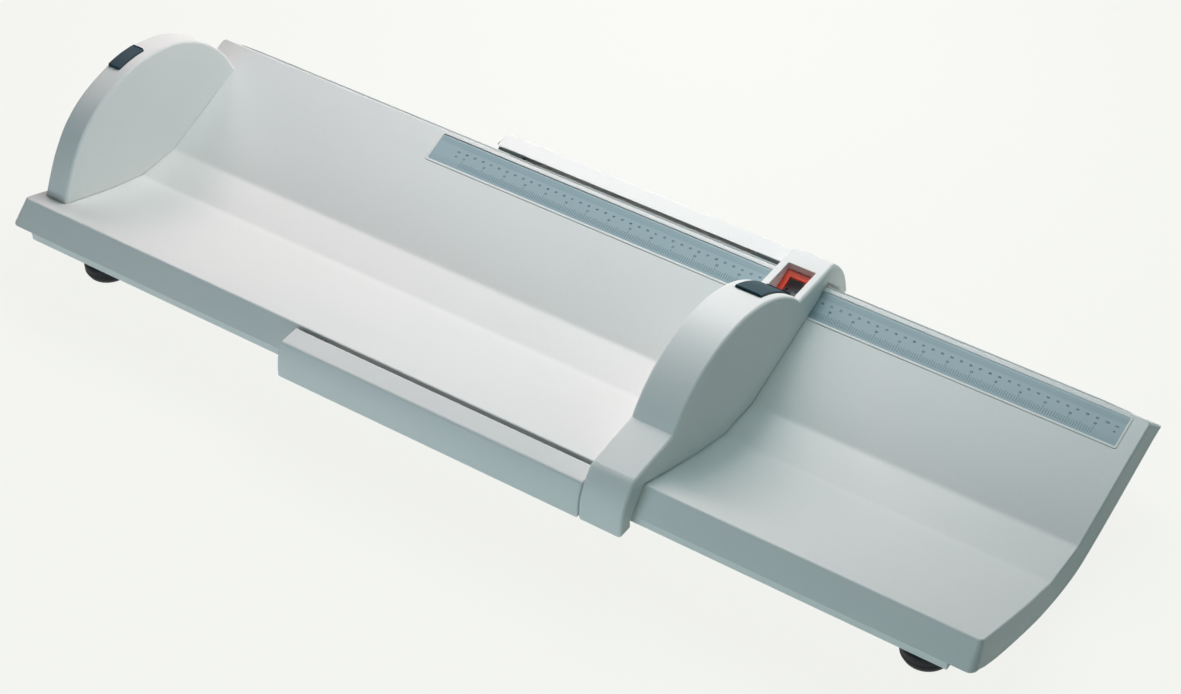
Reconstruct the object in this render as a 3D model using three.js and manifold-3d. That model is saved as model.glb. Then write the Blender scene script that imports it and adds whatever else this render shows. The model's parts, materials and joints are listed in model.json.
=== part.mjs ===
// Infantometer: a trough-shaped bed with a fixed head panel and a sliding foot panel.
// Millimetres, +Z up. The origin is on the standing surface under the middle of the bed.
// X runs along the bed, from the head panel on the left to the open end on the right.
import * as THREE from 'three';
import { mergeVertices } from 'three/addons/utils/BufferGeometryUtils.js';
import Module from 'manifold-3d';

const wasm = await Module();
wasm.setup();

// Bed
const BED_LENGTH = 1089;
const BED_WIDTH = 310.6;
const RIM_HEIGHT = 88;
const TROUGH_DEPTH = 46;
const FLAT_WIDTH = 50;
const FRONT_SAG = 2.4;
const FRONT_SAG_OFFSET = 75;
const SKIRT_DROP = 21.8;
const SKIRT_FLARE = 20.6;
const END_FLARE = 4;
const END_HEM_HANG = 8.5;
const CORNER_RADIUS = 4.5;
const SKIRT_CORNER_RADIUS = 8;
const CORNER_STEPS = 4;
const SHOULDER_WIDTH = 16;
const WALL = 3;

// Running and seating clearances
const SEAT_GAP = 0.3;
const RUNNING_GAP = 0.4;
const CUT_OVERRUN = 5;

// Base pan
const PAN_END_INSET = 22;
const PAN_WALL = 2.5;
const LIP_OUTSET = 19.7;
const LIP_HEIGHT = 9.2;
const PAN_SHELF = 24;
const PAN_DEPTH = 70.5;
const CUP_RADIUS = 22;
const CUP_RISE = 34;
const CUP_FLOOR = 8;
const PAN_BOSS_RADIUS = 6;
const PAN_SCREW_COUNT = 4;
const PAN_SCREW_SPACING = 280;

// Feet
const FOOT_END_INSET = 67.5;
const FOOT_SIDE_INSET = 32.3;
const FOOT_RADIUS = 25;
const FOOT_SOLE_RADIUS = 22.5;
const FOOT_NECK_RADIUS = 22;
const FOOT_HEIGHT = 18;
const FOOT_SOLE_BAND = 4;
const FOOT_NECK_BAND = 3;
const FOOT_RECESS_RADIUS = 7;
const FOOT_RECESS_DEPTH = 9;
const FOOT_SEGMENTS = 32;

// Screws
const LARGE_SCREW_RADIUS = 2.4;
const LARGE_HEAD_RADIUS = 4.4;
const LARGE_HEAD_HEIGHT = 3;
const SMALL_SCREW_RADIUS = 1.4;
const SMALL_HEAD_RADIUS = 2.8;
const SMALL_HEAD_HEIGHT = 1.7;
const HOLE_CLEARANCE = 0.35;
const SCREW_SEGMENTS = 12;
const FOOT_SCREW_LENGTH = 15.5;
const PAN_SCREW_LENGTH = 14;
const HEAD_SCREW_LENGTH = 16;
const BASE_SCREW_LENGTH = 12;
const KEEPER_SCREW_LENGTH = 12;
const ARM_SCREW_LENGTH = 12;

// Rear guide rail
const RAIL_THICKNESS = 1.3;
const RAIL_START = 0.5;
const RAIL_WIDTH = 9;
const RAIL_TAPER = 26;

// Head panel
const HEAD_INNER_FACE = 35.2;
const HEAD_THICKNESS = 27.2;
const HEAD_HEIGHT = 84;
const HEAD_HALF_WIDTH = 136;
const HEAD_EDGE_ROUNDING = 2.5;
const HEAD_WALL = 3;
const HEAD_BOSS_RADIUS = 5.5;
const HEAD_BOSS_HEIGHT = 24;
const HEAD_BOSS_OFFSET = 16;
const HEAD_GRIP_LENGTH = 38;
const HEAD_GRIP_WIDTH = 15.4;
const HEAD_GRIP_DEPTH = 2;
const HEAD_GRIP_PROUD = 1.4;
const HEAD_GRIP_EDGE = 1;
const HEAD_GRIP_CENTRE = -3;

// Scale
const SCALE_LENGTH = 774;
const SCALE_WIDTH = 31.3;
const SCALE_THICKNESS = 0.9;
const SCALE_RIGHT_INSET = 18.3;
const SCALE_RIM_INSET = 4.9;
const BEZEL_WIDTH = 2;
const BEZEL_PROUD = 0.7;
const SCALE_POCKET = 1.2;

// Foot panel
const PANEL_FACE_READING = 665.8;
const PANEL_WIDTH = 47.4;
const CREST_RADIUS = 138;
const CREST_TOP = 71;
const CREST_HALF_CHORD = 107;
const CARRIAGE_TOP = 18.5;
const LEDGE_TOP = 16;
const HOOK_REACH = 39.3;
const HOOK_FOOT_INNER = 25.3;
const HOOK_BOTTOM = 35;
const PANEL_EDGE_ROUNDING = 1.6;
const BED_CLEARANCE = 1.3;
const FRONT_HOOK_GAP = 1.6;
const REAR_HOOK_GAP = 4.4;
const HOOK_INNER_WALL = 2.5;
const HOOK_CHANNEL_TOP = 6;
const CHAMBER_HALF = 150;

// Guide arms
const ARM_LENGTH = 346.5;
const ARM_TOP = 0.8;
const FRONT_ARM_GAP = 5;
const REAR_ARM_GAP = 5.6;
const ARM_BOSS_RADIUS = 4;
const ARM_BOSS_HEIGHT = 12;
const ARM_END_BOSS = 9;
const ARM_SCREW_UPPER_OUT = 19;
const ARM_SCREW_UPPER_DEPTH = 5;
const ARM_SCREW_LOWER_OUT = 31;
const ARM_SCREW_LOWER_DEPTH = 22;

// Glides and keepers
const GLIDE_LENGTH = 30;
const GLIDE_END_INSET = 5;
const FRONT_GLIDE_START = 4;
const FRONT_GLIDE_WIDTH = 20;
const REAR_GLIDE_START = 1.5;
const REAR_GLIDE_WIDTH = 7;
const KEEPER_THICKNESS = 2.6;
const KEEPER_REACH = 12;
const KEEPER_RUNNING_GAP = 0.8;
const KEEPER_EDGE_INSET = 3;

// Reading window
const WINDOW_LENGTH = 39;
const WINDOW_WIDTH = 30;
const WINDOW_START = 110;
const COLLAR_WALL = 2;
const FRAME_LIFT = 11.8;
const FRAME_THICKNESS = 2.5;
const FRAME_SIDE_BAR = 6.2;
const FRAME_END_BAR = 7;

// Foot panel base
const BASE_THICKNESS = 3.5;
const BASE_REAR_END = 98;
const BASE_BOSS_RADIUS = 5;
const BASE_BOSS_HEIGHT = 22;
const BASE_SCREW_SIDE = 16.5;
const BASE_SCREW_OFFSET = 16;
const BASE_COUNTERBORE = 2;

// Thumb brake
const PAD_START = 52.5;
const PAD_END = 106;
const PAD_WIDTH = 29;
const PAD_THICKNESS = 6;
const PAD_PROUD = 2;
const PAD_GAP = 0.6;
const PAD_TRAVEL = 2.5;
const BRAKE_CENTRE = 68;
const PLUNGER_RADIUS = 5;
const PLUNGER_HEAD_RADIUS = 10;
const PLUNGER_HEAD_HEIGHT = 3;
const WEB_TOP = 8;
const WEB_THICKNESS = 3;
const WEB_LENGTH = 30;
const SHOE_LENGTH = 24;
const SHOE_WIDTH = 26;
const SHOE_HEIGHT = 9;
const SHOE_LIFT = 2.9;
const SPRING_RADIUS = 7.6;
const SPRING_WIRE_RADIUS = 0.8;
const SPRING_TURNS = 7;

// Worked-out places
const HALF_LENGTH = BED_LENGTH / 2;
const HALF_WIDTH = BED_WIDTH / 2;
const HALF_FLAT = FLAT_WIDTH / 2;
const FACET_SLOPE = TROUGH_DEPTH / (HALF_WIDTH - HALF_FLAT);
const FACET_ANGLE = Math.atan(FACET_SLOPE);
const SKIRT_LENGTH = Math.hypot(SKIRT_FLARE, SKIRT_DROP);
const SKIRT_OUT = SKIRT_DROP / SKIRT_LENGTH;
const SKIRT_UP = SKIRT_FLARE / SKIRT_LENGTH;
const HEAD_FACE_X = HEAD_INNER_FACE - HALF_LENGTH;
const HEAD_CENTRE_X = HEAD_FACE_X - HEAD_THICKNESS / 2;
const PANEL_CENTRE_X = HEAD_FACE_X + PANEL_FACE_READING + PANEL_WIDTH / 2;
const ARM_CENTRE_X = -PANEL_WIDTH / 2 - RUNNING_GAP - ARM_LENGTH / 2;
const CREST_CENTRE = CREST_TOP - CREST_RADIUS;
const WINDOW_CENTRE = WINDOW_START + WINDOW_LENGTH / 2;

// Shapes as shares of the sizes that they follow
const headOutlineShares = [
  [-0.93, 0.12], [-0.824, 0.393], [-0.676, 0.655], [-0.485, 0.845], [-0.25, 0.958], [-0.03, 1],
  [0.206, 0.958], [0.426, 0.845], [0.625, 0.643], [0.78, 0.393], [0.882, 0.143],
];
const headEndShares = [-0.997, 0.945];
const endHangShares = [0, 0.92, 1, 0.73, 0.49, 0.07, 0.18, -0.1, 0.05, -0.24, -0.6];
const hookShares = [
  [1, 0], [0.98, 0.2], [0.925, 0.4], [0.83, 0.58], [0.7, 0.74], [0.545, 0.88], [0.42, 0.965], [0.3, 1],
];

// Finishes
const shellWhite = new THREE.MeshStandardMaterial({ color: 0xe4e6e3, roughness: 0.55, metalness: 0 });
const scaleBlue = new THREE.MeshStandardMaterial({ color: 0x9fb6c4, roughness: 0.35, metalness: 0.4 });
const gripTeal = new THREE.MeshStandardMaterial({ color: 0x1d4b57, roughness: 0.6, metalness: 0 });
const frameRed = new THREE.MeshStandardMaterial({ color: 0xd83c22, roughness: 0.4, metalness: 0 });
const footBlack = new THREE.MeshStandardMaterial({ color: 0x101113, roughness: 0.85, metalness: 0 });
const screwSteel = new THREE.MeshStandardMaterial({ color: 0xb4b6b8, roughness: 0.35, metalness: 1 });
const glideBlack = new THREE.MeshStandardMaterial({ color: 0x1f2726, roughness: 0.5, metalness: 0 });

// How far the front side hangs under its straight line, at a distance from the middle line
function frontSag(y) {
  const nearShare = (-y - HALF_FLAT) / (FRONT_SAG_OFFSET - HALF_FLAT);
  const farShare = (y + HALF_WIDTH) / (HALF_WIDTH - FRONT_SAG_OFFSET);
  return FRONT_SAG * Math.max(0, Math.min(nearShare, farShare));
}

// Height of the bed surface under the rim level, at a distance from the middle line
function bedHeight(y) {
  return Math.max(0, Math.abs(y) - HALF_FLAT) * FACET_SLOPE - TROUGH_DEPTH - frontSag(y);
}

// Points of the bed line between two places, lifted by a height
function bedLine(start, end, lift) {
  const kinks = [-FRONT_SAG_OFFSET, -HALF_FLAT, HALF_FLAT].filter((y) => y > start && y < end);
  return [start, ...kinks, end].map((y) => [y, bedHeight(y) + lift]);
}

// Merges equal points and turns the faces outwards
function closed(geometry) {
  const bare = geometry.index ? geometry.clone() : geometry;
  bare.deleteAttribute('normal');
  bare.deleteAttribute('uv');
  const merged = mergeVertices(bare);
  const points = merged.getAttribute('position');
  const index = Array.from(merged.getIndex().array);
  const corners = [new THREE.Vector3(), new THREE.Vector3(), new THREE.Vector3()];
  const kept = [];
  let volume = 0;
  for (let face = 0; face < index.length; face += 3) {
    const [a, b, c] = index.slice(face, face + 3);
    if (a !== b && b !== c && c !== a) {
      kept.push(a, b, c);
      corners[0].fromBufferAttribute(points, a);
      corners[1].fromBufferAttribute(points, b);
      corners[2].fromBufferAttribute(points, c);
      volume += corners[0].dot(corners[1].clone().cross(corners[2]));
    }
  }
  merged.setIndex(volume < 0 ? kept.reverse() : kept);
  return merged;
}

// Turns a closed geometry into a solid that can be joined and cut
function solidOf(geometry) {
  const shape = closed(geometry);
  const vertProperties = Float32Array.from(shape.getAttribute('position').array);
  const triVerts = Uint32Array.from(shape.getIndex().array);
  return new wasm.Manifold(new wasm.Mesh({ numProp: 3, vertProperties, triVerts }));
}

// Joins and cuts geometries, and gives a geometry back
function shaped(base, { joins = [], cuts = [], lateJoins = [], lateCuts = [], keep = null }) {
  let solid = solidOf(base);
  joins.forEach((piece) => { solid = solid.add(solidOf(piece)); });
  cuts.forEach((piece) => { solid = solid.subtract(solidOf(piece)); });
  lateJoins.forEach((piece) => { solid = solid.add(solidOf(piece)); });
  lateCuts.forEach((piece) => { solid = solid.subtract(solidOf(piece)); });
  if (keep) {
    solid = solid.intersect(solidOf(keep));
  }
  const mesh = solid.getMesh();
  const geometry = new THREE.BufferGeometry();
  geometry.setAttribute('position', new THREE.BufferAttribute(mesh.vertProperties, mesh.numProp));
  geometry.setIndex(new THREE.BufferAttribute(mesh.triVerts, 1));
  return geometry;
}

// Moves a geometry
function moved(geometry, x, y, z) {
  return geometry.translate(x, y, z);
}

// A box about its middle
function block(length, width, height) {
  return new THREE.BoxGeometry(length, width, height);
}

// A round bar along Z about its middle
function bar(radius, height, segments = SCREW_SEGMENTS * 2) {
  return new THREE.CylinderGeometry(radius, radius, height, segments).rotateX(Math.PI / 2);
}

// An outline of [y, z] points drawn out along X about its middle, with its end edges rounded
function drawnAlongX(outline, length, rounding = 0) {
  const shape = new THREE.Shape(outline.map(([y, z]) => new THREE.Vector2(y, z)));
  const geometry = new THREE.ExtrudeGeometry(shape, {
    depth: length - 2 * rounding,
    bevelEnabled: rounding > 0,
    bevelThickness: rounding,
    bevelSize: rounding,
    bevelOffset: -rounding,
    bevelSegments: 2,
    curveSegments: 1,
  });
  geometry.translate(0, 0, rounding - length / 2);
  const alongY = new THREE.Vector3(0, 1, 0);
  const alongZ = new THREE.Vector3(0, 0, 1);
  const alongX = new THREE.Vector3(1, 0, 0);
  return geometry.applyMatrix4(new THREE.Matrix4().makeBasis(alongY, alongZ, alongX));
}

// A closed body through stations along X, each with a top and a bottom line of [x, y, z] points
function lofted(stations) {
  const count = stations[0].top.length;
  const last = count - 1;
  const end = stations.length - 1;
  const positions = stations.flatMap(({ top, bottom }) => [...top, ...bottom]).flat();
  const at = (station, row, index) => (station * 2 + row) * count + index;
  const faces = [];
  const quad = (a, b, c, d) => faces.push(a, b, c, a, c, d);
  for (let s = 0; s < end; s += 1) {
    for (let i = 0; i < last; i += 1) {
      quad(at(s, 0, i), at(s + 1, 0, i), at(s + 1, 0, i + 1), at(s, 0, i + 1));
      quad(at(s, 1, i), at(s, 1, i + 1), at(s + 1, 1, i + 1), at(s + 1, 1, i));
    }
    quad(at(s, 0, 0), at(s, 1, 0), at(s + 1, 1, 0), at(s + 1, 0, 0));
    quad(at(s, 0, last), at(s + 1, 0, last), at(s + 1, 1, last), at(s, 1, last));
  }
  for (let i = 0; i < last; i += 1) {
    quad(at(0, 0, i), at(0, 0, i + 1), at(0, 1, i + 1), at(0, 1, i));
    quad(at(end, 0, i), at(end, 1, i), at(end, 1, i + 1), at(end, 0, i + 1));
  }
  const geometry = new THREE.BufferGeometry();
  geometry.setAttribute('position', new THREE.Float32BufferAttribute(positions, 3));
  geometry.setIndex(faces);
  return geometry;
}

// A screw along +Z with the underside of its head at zero
function screwShape(shankRadius, length, headRadius, headHeight) {
  const profile = [
    [0, -headHeight], [headRadius, -headHeight], [headRadius, 0],
    [shankRadius, 0], [shankRadius, length], [0, length],
  ];
  const points = profile.map(([radius, height]) => new THREE.Vector2(radius, height));
  return new THREE.LatheGeometry(points, SCREW_SEGMENTS).rotateX(Math.PI / 2);
}

function largeScrew(length) {
  return screwShape(LARGE_SCREW_RADIUS, length, LARGE_HEAD_RADIUS, LARGE_HEAD_HEIGHT);
}

function smallScrew(length) {
  return screwShape(SMALL_SCREW_RADIUS, length, SMALL_HEAD_RADIUS, SMALL_HEAD_HEIGHT);
}

// Adds a named piece to a group
function place(group, name, geometry, material, x = 0, y = 0, z = 0) {
  const mesh = new THREE.Mesh(geometry, material);
  mesh.name = name;
  mesh.position.set(x, y, z);
  group.add(mesh);
  return mesh;
}

// The half length and half width of the skirt at a depth under the rim, inside a wall
function endReach(depth, wall) {
  const wallReach = (wall * Math.hypot(END_FLARE, SKIRT_DROP)) / SKIRT_DROP;
  return HALF_LENGTH + (depth * END_FLARE) / SKIRT_DROP - wallReach;
}

function sideReach(depth, wall) {
  return HALF_WIDTH + (depth * SKIRT_FLARE) / SKIRT_DROP - wall / SKIRT_OUT;
}

// Places across the bed, between its shoulders, where its surface or the end's hem bends
const acrossPlaces = [
  -(HALF_WIDTH + FRONT_SAG_OFFSET) / 2, -FRONT_SAG_OFFSET, -(FRONT_SAG_OFFSET + HALF_FLAT) / 2, -HALF_FLAT,
  0, HALF_FLAT, (HALF_WIDTH + HALF_FLAT) / 2,
];

// The trough body inside a wall, from the bed surface down to a depth
function troughBody(wall, bottomDepth) {
  const topDepth = wall / Math.cos(FACET_ANGLE);
  const topRadius = CORNER_RADIUS - wall;
  const bottomRadius = SKIRT_CORNER_RADIUS - wall;
  const shoulder = HALF_WIDTH - SHOULDER_WIDTH;
  const stationAt = (side, step) => {
    const turn = ((Math.PI / 2) * step) / CORNER_STEPS;
    const along = 1 - Math.cos(turn);
    const across = 1 - Math.sin(turn);
    const topX = side * (endReach(topDepth, wall) - topRadius * along);
    const bottomX = side * (endReach(bottomDepth, wall) - bottomRadius * along);
    const rim = sideReach(topDepth, wall) - topRadius * across;
    const hem = sideReach(bottomDepth, wall) - bottomRadius * across;
    const topPlaces = [-rim, -shoulder, ...acrossPlaces, shoulder, rim];
    const hemPlaces = [-hem, -HALF_WIDTH, ...acrossPlaces, HALF_WIDTH, hem];
    const fade = 1 - step / CORNER_STEPS;
    const hemHeight = (y, share) => Math.min(bedHeight(y), 0) - bottomDepth - END_HEM_HANG * fade * share;
    return {
      top: topPlaces.map((y) => [topX, y, bedHeight(y) - topDepth]),
      bottom: hemPlaces.map((y, index) => [bottomX, y, hemHeight(y, endHangShares[index])]),
    };
  };
  const steps = Array.from({ length: CORNER_STEPS + 1 }, (_, step) => step);
  const left = steps.map((step) => stationAt(-1, step));
  const right = steps.map((step) => stationAt(1, step)).reverse();
  return lofted([...left, ...right]);
}

// Middle of the scale on the rear side of the bed
function scalePlace() {
  const along = SCALE_RIM_INSET + SCALE_WIDTH / 2;
  const y = HALF_WIDTH - along * Math.cos(FACET_ANGLE);
  return { x: HALF_LENGTH - SCALE_RIGHT_INSET - SCALE_LENGTH / 2, y, z: bedHeight(y) };
}

// A piece that lies along the rear side of the bed, lifted square to it
function onRearSide(geometry, x, y, lift) {
  geometry.translate(0, 0, lift);
  geometry.rotateX(FACET_ANGLE);
  return moved(geometry, x, y, bedHeight(y));
}

function footPlaces() {
  const x = HALF_LENGTH - FOOT_END_INSET;
  const y = HALF_WIDTH - FOOT_SIDE_INSET;
  return [
    { name: 'front_left', x: -x, y: -y }, { name: 'front_right', x, y: -y },
    { name: 'rear_left', x: -x, y }, { name: 'rear_right', x, y },
  ];
}

function panScrewPlaces() {
  const middle = (PAN_SCREW_COUNT - 1) / 2;
  return Array.from({ length: PAN_SCREW_COUNT }, (_, index) => (index - middle) * PAN_SCREW_SPACING);
}

function headScrewPlaces() {
  return [{ name: 'front', y: -HEAD_BOSS_OFFSET }, { name: 'rear', y: HEAD_BOSS_OFFSET }];
}

const HEAD_BOSS_X = HEAD_FACE_X - HEAD_WALL - HEAD_BOSS_RADIUS / 2;
const LIP_BOTTOM = -SKIRT_DROP - SEAT_GAP - LIP_HEIGHT;
const TRAY_UNDERSIDE = -TROUGH_DEPTH - WALL / Math.cos(FACET_ANGLE);
const CUP_BOTTOM = FOOT_HEIGHT - RIM_HEIGHT;

// The bed moulding
function trayShell() {
  const scale = scalePlace();
  const pocketLength = SCALE_LENGTH + 2 * (BEZEL_WIDTH + 2 * SEAT_GAP);
  const pocketWidth = SCALE_WIDTH + 2 * (BEZEL_WIDTH + 2 * SEAT_GAP);
  const pocket = block(pocketLength, pocketWidth, SCALE_POCKET + CUT_OVERRUN);
  const pocketLift = (CUT_OVERRUN - SCALE_POCKET) / 2;
  const holeRadius = LARGE_SCREW_RADIUS + HOLE_CLEARANCE;
  const headHoles = headScrewPlaces().map(({ y }) => moved(
    bar(holeRadius, WALL + 2 * CUT_OVERRUN), HEAD_BOSS_X, y, TRAY_UNDERSIDE,
  ));
  const bossHeight = PAN_DEPTH - PAN_WALL - SEAT_GAP + TRAY_UNDERSIDE;
  const bosses = panScrewPlaces().map((x) => moved(
    bar(PAN_BOSS_RADIUS, bossHeight + WALL), x, 0, TRAY_UNDERSIDE + (WALL - bossHeight) / 2,
  ));
  const bossHoles = panScrewPlaces().map((x) => moved(
    bar(holeRadius, PAN_SCREW_LENGTH + CUT_OVERRUN), x, 0,
    PAN_WALL - PAN_DEPTH - CUT_OVERRUN + (PAN_SCREW_LENGTH + CUT_OVERRUN) / 2,
  ));
  return shaped(troughBody(0, SKIRT_DROP), {
    cuts: [troughBody(WALL, SKIRT_DROP + CUT_OVERRUN), onRearSide(pocket, scale.x, scale.y, pocketLift)],
    lateJoins: bosses,
    lateCuts: [...bossHoles, ...headHoles],
  });
}

// The lower cover, with a lip under each long skirt, a cup for each foot and end walls
function basePan() {
  const lipTop = -SKIRT_DROP - SEAT_GAP;
  const lipOuter = HALF_WIDTH + LIP_OUTSET;
  const lipInner = lipOuter - PAN_WALL;
  const shelf = lipOuter - PAN_SHELF;
  const wallTop = TRAY_UNDERSIDE - SEAT_GAP + TROUGH_DEPTH;
  const wallFoot = sideReach(SKIRT_DROP, WALL) - 2 * SEAT_GAP;
  const wallEdge = wallFoot - SKIRT_FLARE;
  const outer = [
    [-lipOuter, LIP_BOTTOM], [-lipOuter, lipTop], [-lipInner, lipTop], [-wallFoot, lipTop],
    ...bedLine(-wallEdge, wallEdge, wallTop),
    [wallFoot, lipTop], [lipInner, lipTop], [lipOuter, lipTop], [lipOuter, LIP_BOTTOM],
    [shelf, LIP_BOTTOM], [HALF_FLAT, -PAN_DEPTH], [-HALF_FLAT, -PAN_DEPTH], [-shelf, LIP_BOTTOM],
  ];
  const inner = [
    [-lipInner, LIP_BOTTOM + PAN_WALL], [-lipInner, CUT_OVERRUN], [lipInner, CUT_OVERRUN],
    [lipInner, LIP_BOTTOM + PAN_WALL], [shelf, LIP_BOTTOM + PAN_WALL], [HALF_FLAT, PAN_WALL - PAN_DEPTH],
    [-HALF_FLAT, PAN_WALL - PAN_DEPTH], [-shelf, LIP_BOTTOM + PAN_WALL],
  ];
  const length = BED_LENGTH - 2 * PAN_END_INSET;
  const cupRoom = CUP_RISE - CUP_FLOOR + CUT_OVERRUN;
  const holeRadius = LARGE_SCREW_RADIUS + HOLE_CLEARANCE;
  const cups = footPlaces().map(({ x, y }) => moved(
    bar(CUP_RADIUS, CUP_RISE), x, y, CUP_BOTTOM + CUP_RISE / 2,
  ));
  const cupHollows = footPlaces().map(({ x, y }) => moved(
    bar(CUP_RADIUS - PAN_WALL, cupRoom), x, y, CUP_BOTTOM + CUP_FLOOR + cupRoom / 2,
  ));
  const footHoles = footPlaces().map(({ x, y }) => moved(bar(holeRadius, CUP_RISE), x, y, CUP_BOTTOM));
  const panHoles = panScrewPlaces().map((x) => moved(bar(holeRadius, CUP_RISE), x, 0, -PAN_DEPTH));
  return shaped(drawnAlongX(outer, length), {
    cuts: [drawnAlongX(inner, length - 2 * PAN_WALL)],
    lateJoins: cups,
    lateCuts: [...cupHollows, ...footHoles, ...panHoles],
  });
}

// A rubber foot with a recess for its screw
function footShape() {
  const bore = LARGE_SCREW_RADIUS + HOLE_CLEARANCE;
  const top = FOOT_HEIGHT - SEAT_GAP;
  const profile = [
    [bore, FOOT_RECESS_DEPTH], [FOOT_RECESS_RADIUS, FOOT_RECESS_DEPTH], [FOOT_RECESS_RADIUS, 0],
    [FOOT_SOLE_RADIUS, 0], [FOOT_RADIUS, FOOT_SOLE_BAND], [FOOT_RADIUS, top - FOOT_NECK_BAND],
    [FOOT_NECK_RADIUS, top], [bore, top], [bore, FOOT_RECESS_DEPTH],
  ];
  const points = profile.map(([radius, height]) => new THREE.Vector2(radius, height));
  return new THREE.LatheGeometry(points, FOOT_SEGMENTS).rotateX(Math.PI / 2);
}

// A point beside the skirt: a distance down along it and a gap out from it
function besideSkirt(down, gap) {
  return [down * SKIRT_UP + gap * SKIRT_OUT, gap * SKIRT_UP - down * SKIRT_OUT];
}

// Turns [outward, z] points into [y, z] points on the front or the rear side
function onSide(points, side) {
  return points.map(([out, z]) => [side * (HALF_WIDTH + out), z]);
}

function railShape() {
  const inner = SEAT_GAP;
  const outer = SEAT_GAP + RAIL_THICKNESS;
  const finish = RAIL_START + RAIL_WIDTH;
  const outline = [
    besideSkirt(RAIL_START, inner), besideSkirt(RAIL_START, outer),
    besideSkirt(finish, outer), besideSkirt(finish, inner),
  ];
  const half = HALF_LENGTH - PAN_END_INSET;
  const section = (x, share) => {
    const [topInner, topOuter, lowOuter, lowInner] = outline;
    const eased = (from, to) => from.map((value, index) => value + (to[index] - value) * share);
    const line = (points) => onSide(points, 1).map(([y, z]) => [x, y, z]);
    const top = line([topInner, eased(topInner, topOuter)]);
    return { top, bottom: line([lowInner, eased(lowInner, lowOuter)]) };
  };
  const thinShare = SEAT_GAP / RAIL_THICKNESS;
  return lofted([
    section(-half, thinShare), section(RAIL_TAPER - half, 1),
    section(half - RAIL_TAPER, 1), section(half, thinShare),
  ]);
}

// The head panel's arch inside a wall, as a function that gives the height at a place
function archPoints(wall) {
  const inside = (share) => share * (HEAD_HALF_WIDTH - wall);
  const ends = headEndShares.map((share) => {
    const y = inside(share);
    return new THREE.Vector2(y, bedHeight(y) + SEAT_GAP);
  });
  const between = headOutlineShares.map(
    ([across, up]) => new THREE.Vector2(inside(across), up * HEAD_HEIGHT - wall),
  );
  return new THREE.SplineCurve([ends[0], ...between, ends[1]]).getPoints(44).map(({ x, y }) => [x, y]);
}

function archHeight(y) {
  const points = archPoints(0);
  const next = points.findIndex(([place]) => place > y);
  const [fromY, fromZ] = points[next - 1];
  const [toY, toZ] = points[next];
  return fromZ + ((toZ - fromZ) * (y - fromY)) / (toY - fromY);
}

function archOutline(wall, lift) {
  const arch = archPoints(wall);
  const start = arch[0][0];
  const end = arch[arch.length - 1][0];
  return [...arch, ...bedLine(start, end, lift).reverse()];
}

// A strip that follows a height function between two places, from one offset to another
function strip(heightAt, start, end, low, high, steps) {
  const places = Array.from({ length: steps + 1 }, (_, step) => start + ((end - start) * step) / steps);
  const lower = places.map((y) => [y, heightAt(y) + low]);
  const upper = places.map((y) => [y, heightAt(y) + high]).reverse();
  return [...lower, ...upper];
}

const HEAD_GRIP_X = HEAD_FACE_X - HEAD_THICKNESS + HEAD_GRIP_EDGE + HEAD_GRIP_WIDTH / 2;

function headGripStrip(gap, high) {
  const start = HEAD_GRIP_CENTRE - HEAD_GRIP_LENGTH / 2 - gap;
  const end = HEAD_GRIP_CENTRE + HEAD_GRIP_LENGTH / 2 + gap;
  const outline = strip(archHeight, start, end, -HEAD_GRIP_DEPTH - gap, high, 6);
  return drawnAlongX(outline, HEAD_GRIP_WIDTH + 2 * gap);
}

function headPanel() {
  const arch = drawnAlongX(archOutline(0, SEAT_GAP), HEAD_THICKNESS, HEAD_EDGE_ROUNDING);
  const body = moved(arch, HEAD_CENTRE_X, 0, 0);
  const roomDepth = HEAD_THICKNESS - HEAD_WALL + CUT_OVERRUN;
  const room = drawnAlongX(archOutline(HEAD_WALL, -CUT_OVERRUN), roomDepth);
  const roomX = HEAD_FACE_X - HEAD_WALL - roomDepth / 2;
  const bossBottom = SEAT_GAP - TROUGH_DEPTH;
  const bosses = headScrewPlaces().map(({ y }) => moved(
    bar(HEAD_BOSS_RADIUS, HEAD_BOSS_HEIGHT), HEAD_BOSS_X, y, bossBottom + HEAD_BOSS_HEIGHT / 2,
  ));
  const holes = headScrewPlaces().map(({ y }) => moved(
    bar(LARGE_SCREW_RADIUS + HOLE_CLEARANCE, 2 * HEAD_SCREW_LENGTH), HEAD_BOSS_X, y, bossBottom,
  ));
  return shaped(body, {
    cuts: [moved(room, roomX, 0, 0)],
    lateJoins: bosses,
    lateCuts: [...holes, moved(headGripStrip(SEAT_GAP, CUT_OVERRUN), HEAD_GRIP_X, 0, 0)],
  });
}

function headPanelCover() {
  return drawnAlongX(archOutline(HEAD_WALL + SEAT_GAP, SEAT_GAP), HEAD_WALL);
}

// The outer curve of a hook, as [outward, z] points from its foot up to a top
function hookCurve(top) {
  const rise = top + HOOK_BOTTOM;
  const points = hookShares.map(([out, up]) => new THREE.Vector2(out * HOOK_REACH, up * rise - HOOK_BOTTOM));
  return new THREE.SplineCurve(points).getPoints(12).map(({ x, y }) => [x, y]);
}

// How far out a face beside the skirt lies at a height
function faceOut(gap, z) {
  return (gap - z * SKIRT_UP) / SKIRT_OUT;
}

// The part of a rising curve below a height, ended at that height
function curveBelow(curve, height) {
  const next = curve.findIndex(([, z]) => z > height);
  const [fromOut, fromZ] = curve[next - 1];
  const [toOut, toZ] = curve[next];
  const out = fromOut + ((toOut - fromOut) * (height - fromZ)) / (toZ - fromZ);
  return [...curve.slice(0, next), [out, height]];
}

// The hook's inner line, from its foot up to a height
function hookInner(gap, inset, bottom, height) {
  const foot = HOOK_FOOT_INNER + inset;
  const bend = (gap + inset - foot * SKIRT_OUT) / SKIRT_UP;
  return [[foot, bottom], [foot, bend], [faceOut(gap + inset, height), height]];
}

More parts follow.
